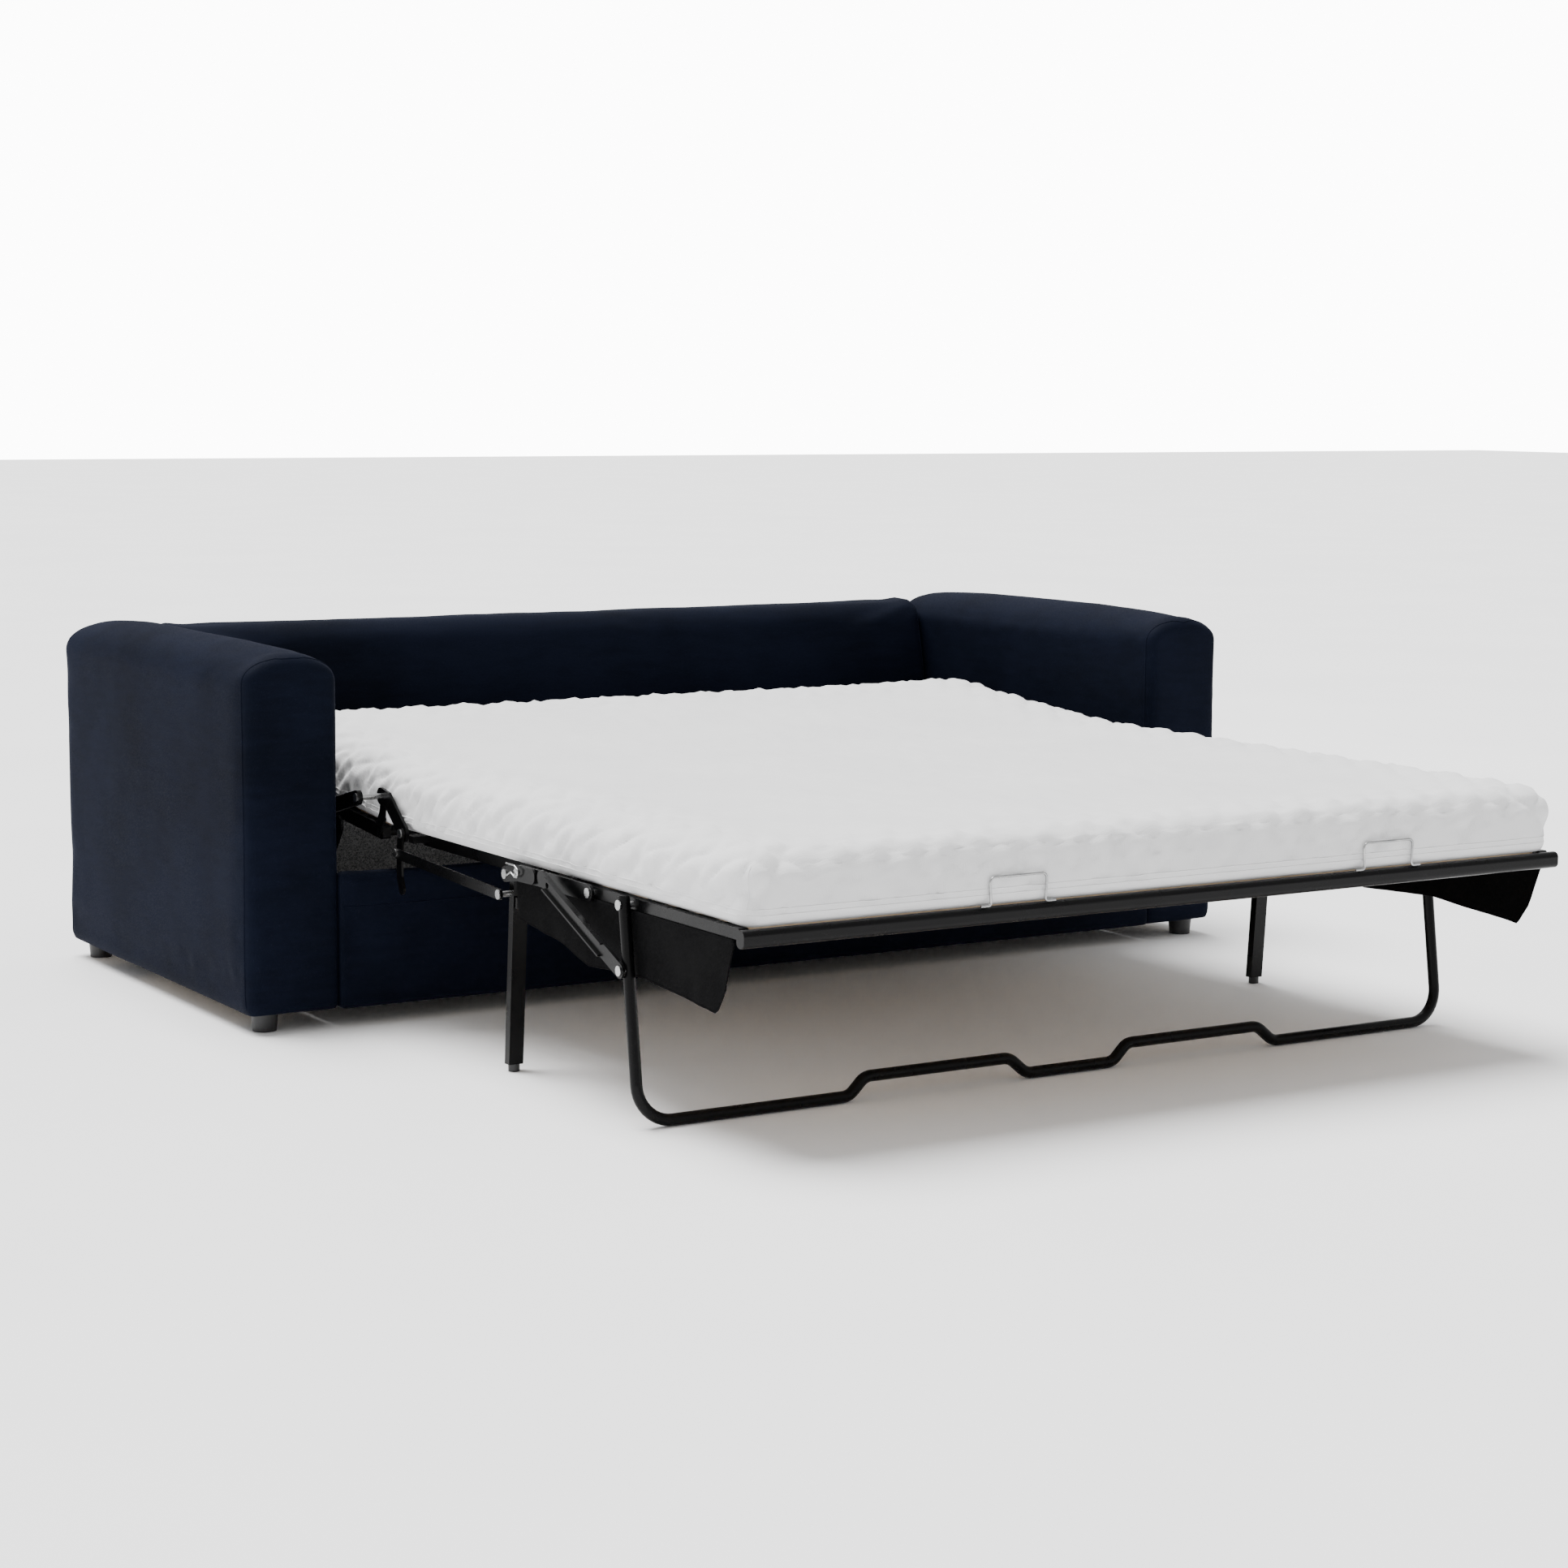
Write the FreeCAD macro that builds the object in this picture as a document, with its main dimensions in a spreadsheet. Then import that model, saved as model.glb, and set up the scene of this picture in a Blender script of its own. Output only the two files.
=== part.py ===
import FreeCAD, Part
import math
import os

# Pull-out sofa bed, opened.  The bed is a three-section steel frame with a mattress that folds
# over itself and drops into the well of a narrow-armed sofa.
#
# Frame: millimetres, +X across the sofa, +Y to its back, +Z up, z = 0 on the floor.
# Side profiles are drawn in (y, z) with y measured from the front face of the arms; FRONT moves
# that face so that the origin ends up under the middle of the whole object.

doc = FreeCAD.newDocument("SofaBed")
sheet = doc.addObject("Spreadsheet::Sheet", "Dimensions")

SIZES = {
    "front_face": 146.5,          # y of the front face of the arms in the part's own frame
    "sofa_width": 2120, "sofa_depth": 929, "arm_width": 176, "arm_height": 655,
    "arm_corner": 34, "underside": 33, "panel": 18,
    "arm_skin": 6, "arm_outer_pad": 15, "arm_top_pad": 60, "arm_end_pad": 20,
    "back_front": 793, "back_board_front": 862, "back_board_top": 560,
    "front_thickness": 24, "front_height": 262, "front_board_front": 6,
    "front_board_thickness": 12, "front_board_top": 245,
    "liner_thickness": 3, "foot_radius": 24, "foot_inset": 48,
    "rail_width": 16, "tube_radius": 9, "deck_height": 348, "tube_height": 334.5,
    "middle_rail_outer": 768, "foot_rail_outer": 795, "head_rail_outer": 796.5,
    "middle_front": -590, "middle_back": -85, "foot_back": -665, "foot_front": -1201,
    "head_start": 20, "head_length": 530, "head_tilt": 5,
    "slat_width": 55, "slat_thickness": 8, "slat_top": 346,
    "mattress_half_width": 795, "mattress_thickness": 106, "mattress_bottom": 348.5,
    "fold_front": -760, "fold_back": -527, "head_fold_front": -46, "head_fold_back": 65,
    "mattress_foot_end": -1216, "mattress_head_length": 495,
    "lug_inner": 796.5, "lug_thickness": 3.5,
    "link_inner": 800.5, "link_thickness": 5,
    "hinge_plate_inner": 801.5, "hinge_plate_thickness": 5,
    "clip_plate_inner": 806.5, "clip_plate_thickness": 4,
    "crank_inner": 808, "crank_thickness": 4,
    "bar_inner": 815, "bar_thickness": 4,
    "drive_inner": 821.5, "drive_thickness": 5,
    "lift_inner": 845, "lift_thickness": 8,
    "stop_inner": 857, "stop_thickness": 5,
    "mount_inner": 878, "mount_thickness": 6,
    "leg_inner": 771, "leg_width": 26, "leg_depth": 16, "glide_radius": 9.5, "glide_height": 12,
    "pin_radius": 5, "pin_clearance": 0.08, "pin_head_radius": 8, "pin_head_height": 2,
    "pin_end_gap": 0.3, "lug_pin_inset": 0.2,
    "leg_tube_radius": 9.5, "leg_tube_bore": 8, "leg_tube_spacing": 809.5,
    "end_rail_half_width": 800, "end_rail_back": -1201, "end_rail_depth": 21,
    "end_rail_bottom": 320.5, "end_rail_height": 27, "wire_radius": 2,
    "flap_inner": 796, "flap_thickness": 2.5,
}

for row, (alias, number) in enumerate(SIZES.items(), start=1):
    sheet.set(f"A{row}", alias)
    sheet.set(f"B{row}", str(number))
    sheet.setAlias(f"B{row}", alias)
doc.recompute()

D = SIZES
FRONT = D["front_face"]
SIDES = {"left": -1, "right": 1}

# Pivots of the folding mechanism, (y, z) from the front face of the arms.
LIFT_PIVOT = (324.1, 275.2)       # lift arm on the sofa
LIFT_ELBOW = (196.0, 357.0)
HEAD_PIVOT = (8.0, 403.0)         # lift arm, middle section and head section
CRANK_PIVOT = (-85.0, 348.0)
CRANK_ARM = (6.0, -34.0)          # crank pivot to bar pin, the same on the middle leg
LEG_PIVOT = (-484.0, 332.0)
LEG_LEAN = math.radians(4)
FOLD_PIVOT = (-527.0, 339.0)      # fold link on the middle section
FOOT_PIVOT = (-760.0, 339.0)      # fold link on the foot section
U_PIVOT = (-885.0, 339.0)         # U leg on the foot section
U_FLOOR = (-931.0, D["leg_tube_radius"])
DRIVE_PIN = (-899.3, 241.0)       # drive link on the U leg
DRIVE_OPEN_END = (-664.0, 339.0)  # free end of the drive link, beside the fold link

nodes = []


def node(obj, label):
    obj.Label = label
    nodes.append(obj)
    return obj


def cell(alias):
    return f"<<Dimensions>>.{alias}"


def add(point, offset):
    return (point[0] + offset[0], point[1] + offset[1])


def vec(point):
    return FreeCAD.Vector(point[0], point[1], 0)


def place(obj, x, y="0", z="0"):
    obj.setExpression("Placement.Base.x", x)
    obj.setExpression("Placement.Base.y", f"{cell('front_face')} + {y}")
    obj.setExpression("Placement.Base.z", z)


def layer_x(side, inner, thickness):
    """Expression for the low-x face of a plate that lies between inner and inner + thickness."""
    if side > 0:
        return cell(inner)
    return f"-({cell(inner)} + {cell(thickness)})"


# ---------------------------------------------------------------- outlines

def polygon(points):
    return [Part.LineSegment(vec(a), vec(b)) for a, b in zip(points, points[1:] + points[:1])]


def rounded_path(points, radii):
    """Open path through points with each inner corner rounded to its own radius."""
    pts = [vec(p) for p in points]
    edges = []
    start = pts[0]
    for corner, before, after, radius in zip(pts[1:-1], pts, pts[2:], radii):
        into = (before - corner).normalize()
        away = (after - corner).normalize()
        half = into.getAngle(away) / 2
        reach = radius / math.tan(half)
        centre_way = (into + away).normalize()
        centre = corner + centre_way * (radius / math.sin(half))
        middle = centre - centre_way * radius
        first = corner + into * reach
        last = corner + away * reach
        edges.append(Part.LineSegment(start, first))
        edges.append(Part.Arc(first, middle, last))
        start = last
    edges.append(Part.LineSegment(start, pts[-1]))
    return edges


def rounded_polygon(points, radius):
    """Closed outline with every corner rounded to the same radius."""
    middle = tuple((a + b) / 2 for a, b in zip(points[0], points[-1]))
    loop = [middle] + points + [middle]
    return rounded_path(loop, [radius] * len(points))


def bar_outline(points, width):
    """Outline of a flat bar of constant width with round ends along a line of points."""
    half = width / 2
    pts = [vec(p) for p in points]
    ways = [(b - a).normalize() for a, b in zip(pts, pts[1:])]
    left, right = [], []
    for index, point in enumerate(pts):
        before = ways[max(index - 1, 0)]
        after = ways[min(index, len(ways) - 1)]
        way = (before + after).normalize()
        reach = half / math.cos(before.getAngle(after) / 2)
        normal = FreeCAD.Vector(-way.y, way.x, 0) * reach
        left.append(point + normal)
        right.append(point - normal)
    edges = [Part.LineSegment(a, b) for a, b in zip(left, left[1:])]
    edges.append(Part.Arc(left[-1], pts[-1] + ways[-1] * half, right[-1]))
    right.reverse()
    edges += [Part.LineSegment(a, b) for a, b in zip(right, right[1:])]
    edges.append(Part.Arc(right[-1], pts[0] - ways[0] * half, left[0]))
    return edges


def hole(point, radius=None):
    radius = radius or D["pin_radius"] + D["pin_clearance"]
    return Part.Circle(vec(point), FreeCAD.Vector(0, 0, 1), radius)


# ---------------------------------------------------------------- pieces

def origin_plane(body, role):
    return next(f for f in body.Origin.OriginFeatures if f.Role == role)


def sketch_on(body, role, edges, name):
    sketch = body.newObject("Sketcher::SketchObject", name)
    sketch.AttachmentSupport = [(origin_plane(body, role), "")]
    sketch.MapMode = "FlatFace"
    sketch.addGeometry(edges, False)
    return sketch


def padded_body(name, role, edges, length):
    body = doc.addObject("PartDesign::Body", name)
    sketch = sketch_on(body, role, edges, name + "_outline")
    pad = body.newObject("PartDesign::Pad", name + "_pad")
    pad.Profile = sketch
    pad.setExpression("Length", length)
    sketch.Visibility = False
    return body


def plate(name, side, inner, thickness, edges):
    """Side plate: an outline in (y, z) as thick as its layer, inner side at the inner size."""
    body = padded_body(name, "YZ_Plane", edges, cell(thickness))
    place(body, layer_x(side, inner, thickness))
    return body


def box(name, x, y, z, length, width, height):
    solid = doc.addObject("Part::Box", name)
    solid.setExpression("Length", length)
    solid.setExpression("Width", width)
    solid.setExpression("Height", height)
    place(solid, x, y, z)
    return solid


def cross_rod(name, radius, x, point, length):
    """Cylinder along +X through the (y, z) point."""
    rod = doc.addObject("Part::Cylinder", name)
    rod.setExpression("Radius", radius)
    rod.setExpression("Height", length)
    rod.Placement = FreeCAD.Placement(
        FreeCAD.Vector(0, 0, 0), FreeCAD.Rotation(FreeCAD.Vector(0, 1, 0), 90))
    place(rod, x, str(point[0]), str(point[1]))
    return rod


def fuse(name, parts):
    joined = doc.addObject("Part::MultiFuse", name)
    joined.Shapes = parts
    return joined


def cut(name, base, tool):
    result = doc.addObject("Part::Cut", name)
    result.Base = base
    result.Tool = tool
    return result


def group(name, parts):
    """Several separate solids of the same kind kept as one node."""
    compound = doc.addObject("Part::Compound", name)
    compound.Links = parts
    return compound


def pin(name, side, point, inner, outer):
    """Steel pin with a flat head at each end, reaching from inner to outer across the sofa."""
    head = D["pin_head_height"]
    low = min(side * inner, side * outer)
    shaft = cross_rod(name + "_shaft", cell("pin_radius"), str(low), point, str(outer - inner))
    heads = []
    for index, start in enumerate((low - head, low + outer - inner)):
        disc = cross_rod(f"{name}_head_{index}", cell("pin_head_radius"), str(start), point,
                         cell("pin_head_height"))
        heads.append(disc)
    return fuse(name, [shaft] + heads)


def stub(name, side, point, inner, outer):
    """Pin welded to the piece at its inner end, with one flat head at its outer end."""
    low = min(side * inner, side * outer)
    shaft = cross_rod(name + "_shaft", cell("pin_radius"), str(low), point, str(outer - inner))
    start = outer if side > 0 else -outer - D["pin_head_height"]
    disc = cross_rod(name + "_head", cell("pin_head_radius"), str(start), point,
                     cell("pin_head_height"))
    return fuse(name, [shaft, disc])


# ---------------------------------------------------------------- sofa

def rectangle(low, high):
    return [low, (high[0], low[1]), high, (low[0], high[1])]


def arm(side_name, side):
    width, depth = D["arm_width"], D["sofa_depth"]
    footprint = rounded_polygon(rectangle((0, 0), (width, depth)), D["arm_corner"])
    block = padded_body("arm_block_" + side_name, "XY_Plane", footprint,
                        f"{cell('arm_height')} - {cell('underside')}")
    doc.recompute()
    top = D["arm_height"] - D["underside"]
    pad = block.Tip
    edges = pad.Shape.Edges
    rim = [f"Edge{i}" for i, e in enumerate(edges, 1)
           if all(abs(v.Point.z - top) < 0.01 for v in e.Vertexes)]
    crown = block.newObject("PartDesign::Fillet", "arm_crown_" + side_name)
    crown.Base = (pad, rim)
    crown.setExpression("Radius", f"{cell('arm_corner')} - 4")
    half = f"{cell('sofa_width')} / 2"
    low = f"{half} - {cell('arm_width')}" if side > 0 else f"-{half}"
    place(block, low, "0", cell("underside"))

    inner_gap, outer_gap = ("arm_skin", "arm_outer_pad")
    first_gap = inner_gap if side > 0 else outer_gap
    core_x = f"{low} + {cell(first_gap)}"
    core_width = f"{cell('arm_width')} - {cell(inner_gap)} - {cell(outer_gap)}"
    core_depth = f"{cell('sofa_depth')} - 2 * {cell('arm_end_pad')}"
    core_height = f"{cell('arm_height')} - {cell('underside')} - {cell('arm_top_pad')}"
    core = [core_x, cell("arm_end_pad"), cell("underside"), core_width, core_depth, core_height]
    well = box("arm_well_" + side_name, *core)
    node(cut("arm_cover_" + side_name, block, well), "arm_cover_" + side_name)

    outer_box = box("arm_box_" + side_name, *core)
    board = cell("panel")
    hollow = box("arm_hollow_" + side_name,
                 f"{core_x} + {board}", f"{cell('arm_end_pad')} + {board}",
                 f"{cell('underside')} + {board}",
                 f"{core_width} - 2 * {board}", f"{core_depth} - 2 * {board}",
                 f"{core_height} - 2 * {board}")
    node(cut("arm_frame_" + side_name, outer_box, hollow), "arm_frame_" + side_name)


def backrest():
    bottom, depth = D["underside"], D["sofa_depth"]
    front = D["back_front"]
    crown = [(front + 32, 591), (front + 46, 635), (front + 68, 651), (depth - 32, 651),
             (depth - 6, 640), (depth, 610)]
    outline = [(front, bottom), (front, 480), (front + 14, 537)] + crown + [(depth, bottom)]
    span = f"{cell('sofa_width')} - 2 * {cell('arm_width')}"
    low = f"-({span}) / 2"
    block = padded_body("back_block", "YZ_Plane", polygon(outline), span)
    place(block, low)
    board = [f"{low} + {cell('panel')}", cell("back_board_front"), cell("underside"),
             f"{span} - 2 * {cell('panel')}", cell("panel"),
             f"{cell('back_board_top')} - {cell('underside')}"]
    node(cut("back_cover", block, box("back_slot", *board)), "back_cover")
    node(box("back_frame", *board), "back_frame")


def front_panel():
    bottom, top, deep = D["underside"], D["front_height"], D["front_thickness"]
    outline = [(0, bottom), (deep, bottom), (deep, top - 8), (deep - 6, top), (6, top),
               (0, top - 8)]
    span = f"{cell('sofa_width')} - 2 * {cell('arm_width')}"
    low = f"-({span}) / 2"
    block = padded_body("front_block", "YZ_Plane", polygon(outline), span)
    place(block, low)
    board = [f"{low} + {cell('panel')}", cell("front_board_front"), cell("underside"),
             f"{span} - 2 * {cell('panel')}", cell("front_board_thickness"),
             f"{cell('front_board_top')} - {cell('underside')}"]
    node(cut("front_cover", block, box("front_slot", *board)), "front_cover")
    node(box("front_board", *board), "front_board")
    node(box("well_liner", low, cell("front_thickness"), cell("underside"), span,
             f"{cell('back_front')} - {cell('front_thickness')}", cell("liner_thickness")),
         "well_liner")


def sofa_feet():
    feet = []
    for side_name, side in SIDES.items():
        for end, y in (("front", cell("foot_inset")),
                       ("back", f"{cell('sofa_depth')} - {cell('foot_inset')}")):
            foot = doc.addObject("Part::Cone", f"foot_{end}_{side_name}")
            foot.setExpression("Radius1", f"{cell('foot_radius')} - 3")
            foot.setExpression("Radius2", cell("foot_radius"))
            foot.setExpression("Height", cell("underside"))
            place(foot, f"{side} * ({cell('sofa_width')} / 2 - {cell('foot_inset')})", y)
            feet.append(foot)
    node(group("sofa_feet", feet), "sofa_feet")


def mount_plate(side_name, side):
    base = rounded_polygon([(60, 205), (372, 205), (372, 305), (60, 305)], 12)
    back = plate("mount_back_" + side_name, side, "mount_inner", "mount_thickness", base)
    # the stop rises to the rest height of the lift arm; a foot joins it to the back plate
    stop_outline = bar_outline([(122, 215), (122, 275), (68, 348)], 32)
    stop = plate("stop_" + side_name, side, "stop_inner", "stop_thickness", stop_outline)
    reach = D["mount_inner"] - D["stop_inner"] - D["stop_thickness"]
    low = D["stop_inner"] + D["stop_thickness"] if side > 0 else -D["mount_inner"]
    foot = box("stop_foot_" + side_name, str(low), "108", "215", str(reach), "28", "28")
    node(fuse("mount_plate_" + side_name, [back, stop, foot]), "mount_plate_" + side_name)


def lift_pins():
    pins = [stub("lift_pin_" + name, -side, LIFT_PIVOT, -D["mount_inner"], -D["lift_inner"])
            for name, side in SIDES.items()]
    node(group("lift_pins", pins), "lift_pins")


# ---------------------------------------------------------------- bed frame

def lift_arm(side_name, side):
    outline = bar_outline([HEAD_PIVOT, LIFT_ELBOW, LIFT_PIVOT], 26)
    outline += [hole(HEAD_PIVOT), hole(LIFT_PIVOT)]
    node(plate("lift_arm_" + side_name, side, "lift_inner", "lift_thickness", outline),
         "lift_arm_" + side_name)


def rail_profile(back, front, height, pins=()):
    top = D["deck_height"]
    ends = rounded_polygon([(front, top - height), (back, top - height), (back, top),
                            (front, top)], 5)
    return ends + [hole(p) for p in pins]


def side_rail(name, side, outer, outline):
    body = padded_body(name, "YZ_Plane", outline, cell("rail_width"))
    low = f"{cell(outer)} - {cell('rail_width')}" if side > 0 else f"-{cell(outer)}"
    place(body, low)
    return body


def cross_tube(name, y, outer):
    half = f"({cell(outer)} - {cell('rail_width')})"
    return cross_rod(name, cell("tube_radius"), f"-{half}", (y, D["tube_height"]), f"2 * {half}")


def slats(name, ys, outer):
    half = f"({cell(outer)} - {cell('rail_width')})"
    return [box(f"{name}_{index}", f"-{half}", f"{y} - {cell('slat_width')} / 2",
                f"{cell('slat_top')} - {cell('slat_thickness')}", f"2 * {half}",
                cell("slat_width"), cell("slat_thickness"))
            for index, y in enumerate(ys)]


def spaced(first, last, count):
    return [first + (last - first) * i / (count - 1) for i in range(count)]


def middle_section():
    for side_name, side in SIDES.items():
        outline = rail_profile(D["middle_back"], D["middle_front"], 22.5, [LEG_PIVOT, FOLD_PIVOT])
        node(side_rail("middle_rail_" + side_name, side, "middle_rail_outer", outline),
             "middle_rail_" + side_name)
    tubes = [cross_tube("middle_tube_" + end, y, "middle_rail_outer")
             for end, y in (("front", -575), ("back", -100))]
    node(group("middle_tubes", tubes), "middle_tubes")
    boards = slats("middle_slat", spaced(-445, -140, 5), "middle_rail_outer")
    node(group("middle_slats", boards), "middle_slats")


def hinge_plate(side_name, side):
    outline = bar_outline([HEAD_PIVOT, (-20, 398), (-66, 362), CRANK_PIVOT], 30)
    outline += [hole(HEAD_PIVOT), hole(CRANK_PIVOT)]
    wing = plate("hinge_wing_" + side_name, side, "hinge_plate_inner", "hinge_plate_thickness",
                 outline)
    rail, wall = D["middle_rail_outer"], D["hinge_plate_inner"]
    low = rail if side > 0 else -wall
    block = box("hinge_block_" + side_name, str(low), "-118", "334", str(wall - rail), "20", "12")
    node(fuse("hinge_plate_" + side_name, [wing, block]), "hinge_plate_" + side_name)


def clip_plate(side_name, side):
    outline = bar_outline([LEG_PIVOT, FOLD_PIVOT, (-576, 340)], 26)
    outline += [hole(LEG_PIVOT), hole(FOLD_PIVOT)]
    node(plate("clip_plate_" + side_name, side, "clip_plate_inner", "clip_plate_thickness",
               outline),
         "clip_plate_" + side_name)


def frame_pins():
    head_outer = D["lift_inner"] + D["lift_thickness"]
    clip_outer = D["clip_plate_inner"] + D["clip_plate_thickness"]
    rail_inner = D["middle_rail_outer"] - D["rail_width"]
    crank_outer = D["crank_inner"] + D["crank_thickness"] + D["pin_end_gap"]
    sets = {
        "head_pins": (HEAD_PIVOT, D["lug_inner"] - D["lug_pin_inset"], head_outer),
        "fold_pins": (FOLD_PIVOT, rail_inner, clip_outer),
        "leg_pivot_pins": (LEG_PIVOT, rail_inner, clip_outer),
        "crank_pins": (CRANK_PIVOT, D["hinge_plate_inner"], crank_outer),
    }
    pins = []
    for name, (point, inner, outer) in sets.items():
        kind = stub if name == "head_pins" else pin
        pins += [kind(f"{name}_{side_name}", side, point, inner, outer)
                 for side_name, side in SIDES.items()]
    node(group("frame_pins", pins), "frame_pins")


def r_clip(side_name, side):
    """Spring clip of round wire: one straight leg, one leg with a bump, and a loop."""
    radius = 1.5
    x = side * 816
    loop = [(-500, 352), (-529, 352), (-541, 346), (-541, 338), (-529, 333), (-516, 340),
            (-503, 333)]
    edges = rounded_path(loop, [5, 4, 4, 5, 6])
    shape = Part.Wire([e.toShape() for e in edges])
    start = vec(loop[0])
    ring = Part.Wire(Part.makeCircle(radius, start, FreeCAD.Vector(1, 0, 0)))
    solid = shape.makePipeShell([ring], True, False)
    spin = FreeCAD.Rotation(FreeCAD.Vector(1, 1, 1), 120)  # sketch (y, z) plane to world
    clip = doc.addObject("Part::Feature", "r_clip_" + side_name)
    clip.Shape = solid
    clip.Placement = FreeCAD.Placement(FreeCAD.Vector(x, FRONT, 0), spin)
    return clip


def head_section():
    tilt = math.radians(D["head_tilt"])
    start = (D["head_start"], D["deck_height"])

    def on_deck(along, below):
        return (start[0] + along * math.cos(tilt) + below * math.sin(tilt),
                start[1] + along * math.sin(tilt) - below * math.cos(tilt))

    length = D["head_length"]
    for side_name, side in SIDES.items():
        corners = [on_deck(0, 0), on_deck(0, 25), on_deck(length, 25), on_deck(length, 0)]
        rail = side_rail("head_beam_" + side_name, side, "head_rail_outer",
                         rounded_polygon(corners, 5))
        lug_line = [HEAD_PIVOT, (16, 368), (34, 340)]
        lug = plate("head_lug_" + side_name, side, "lug_inner", "lug_thickness",
                    bar_outline(lug_line, 24) + [hole(HEAD_PIVOT)])
        node(fuse("head_rail_" + side_name, [rail, lug]), "head_rail_" + side_name)
    half = D["head_rail_outer"] - D["rail_width"]
    tubes = [cross_rod("head_tube_" + end, cell("tube_radius"), str(-half), on_deck(along, 13),
                       str(2 * half))
             for end, along in (("front", 14), ("back", length - 14))]
    node(group("head_tubes", tubes), "head_tubes")
    boards = []
    for index, along in enumerate(spaced(75, length - 70, 5)):
        low, high = along - D["slat_width"] / 2, along + D["slat_width"] / 2
        thick = D["slat_thickness"]
        corners = [on_deck(low, 2), on_deck(low, 2 + thick), on_deck(high, 2 + thick),
                   on_deck(high, 2)]
        board = padded_body(f"head_slat_{index}", "YZ_Plane", polygon(corners), str(2 * half))
        place(board, str(-half))
        boards.append(board)
    node(group("head_slats", boards), "head_slats")

    # mattress lies on the tilted deck
    corners = [on_deck(40, -1), on_deck(40 + D["mattress_head_length"], -1),
               on_deck(40 + D["mattress_head_length"], -1 - D["mattress_thickness"]),
               on_deck(40, -1 - D["mattress_thickness"])]
    pad = padded_body("mattress_head", "YZ_Plane", polygon(corners),
                      f"2 * {cell('mattress_half_width')}")
    place(pad, f"-{cell('mattress_half_width')}")
    node(pad, "mattress_head")
    return on_deck(40, -1), on_deck(40, -1 - D["mattress_thickness"])


def mattress_block(name, low, high):
    solid = box(name, f"-{cell('mattress_half_width')}", cell(low), cell("mattress_bottom"),
                f"2 * {cell('mattress_half_width')}", f"{cell(high)} - {cell(low)}",
                cell("mattress_thickness"))
    node(solid, name)


def mattress(head_bottom, head_top):
    mattress_block("mattress_foot", "mattress_foot_end", "fold_front")
    mattress_block("mattress_fold", "fold_front", "fold_back")
    mattress_block("mattress_middle", "fold_back", "head_fold_front")
    low = D["mattress_bottom"]
    wedge = [(D["head_fold_front"], low), head_bottom, head_top,
             (D["head_fold_front"], low + D["mattress_thickness"])]
    pad = padded_body("mattress_head_fold", "YZ_Plane", polygon(wedge),
                      f"2 * {cell('mattress_half_width')}")
    place(pad, f"-{cell('mattress_half_width')}")
    node(pad, "mattress_head_fold")


def fold_link(side_name, side):
    outline = bar_outline([FOLD_PIVOT, FOOT_PIVOT], 26) + [hole(FOLD_PIVOT), hole(FOOT_PIVOT)]
    node(plate("fold_link_" + side_name, side, "link_inner", "link_thickness", outline),
         "fold_link_" + side_name)


def foot_section():
    for side_name, side in SIDES.items():
        outline = rail_profile(D["foot_back"], D["foot_front"], 25, [FOOT_PIVOT, U_PIVOT])
        node(side_rail("foot_rail_" + side_name, side, "foot_rail_outer", outline),
             "foot_rail_" + side_name)
    node(cross_tube("foot_tube", -682, "foot_rail_outer"), "foot_tube")
    ys = [-722, -820] + spaced(-930, -1155, 4)
    boards = slats("foot_slat", ys, "foot_rail_outer")
    node(group("foot_slats", boards), "foot_slats")

    back, depth = D["end_rail_back"], D["end_rail_depth"]
    low, high = D["end_rail_bottom"], D["end_rail_bottom"] + D["end_rail_height"]
    section = rounded_polygon([(back - depth, low), (back, low), (back, high),
                               (back - depth, high)], 9)
    rail = padded_body("foot_end_rail", "YZ_Plane", section,
                       f"2 * {cell('end_rail_half_width')}")
    place(rail, f"-{cell('end_rail_half_width')}")
    node(rail, "foot_end_rail")

    rail_inner = D["foot_rail_outer"] - D["rail_width"]
    link_outer = D["link_inner"] + D["link_thickness"] + D["pin_end_gap"]
    tube_outer = D["leg_tube_spacing"] + D["leg_tube_radius"] + D["pin_end_gap"]
    pins = []
    for name, point, outer in (("foot_hinge_pins", FOOT_PIVOT, link_outer),
                               ("foot_leg_pins", U_PIVOT, tube_outer)):
        pins += [pin(f"{name}_{side_name}", side, point, rail_inner, outer)
                 for side_name, side in SIDES.items()]
    node(group("foot_pins", pins), "foot_pins")


def wire_bow(name, middle):
    """Mattress retainer: a low bow of round wire whose feet turn outwards on the end rail."""
    low = D["end_rail_bottom"] + D["end_rail_height"] + D["wire_radius"] + 0.2
    half, height, foot = 53, 43, 16
    line = [(middle - half - foot, low), (middle - half + 3, low),
            (middle - half, low + height), (middle + half, low + height),
            (middle + half - 3, low), (middle + half + foot, low)]
    edges = rounded_path(line, [5, 9, 9, 5])
    body = doc.addObject("PartDesign::Body", name)
    path = sketch_on(body, "XZ_Plane", edges, name + "_path")
    ring = Part.Circle(FreeCAD.Vector(0, low, 0), FreeCAD.Vector(0, 0, 1), D["wire_radius"])
    profile = sketch_on(body, "YZ_Plane", [ring], name + "_ring")
    profile.AttachmentOffset = FreeCAD.Placement(
        FreeCAD.Vector(0, 0, line[0][0]), FreeCAD.Rotation())
    pipe = body.newObject("PartDesign::AdditivePipe", name + "_pipe")
    pipe.Profile = profile
    pipe.Spine = path
    place(body, "0", "-1219.5")
    return body


def side_flap(side_name, side):
    outline = [(-668, 330), (-668, 241), (-749, 223), (-930, 232), (-1136, 214), (-1161, 250),
               (-1183, 311), (-1190, 330)]
    node(plate("side_flap_" + side_name, side, "flap_inner", "flap_thickness",
               polygon(outline)), "side_flap_" + side_name)


# ---------------------------------------------------------------- legs and links

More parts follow.
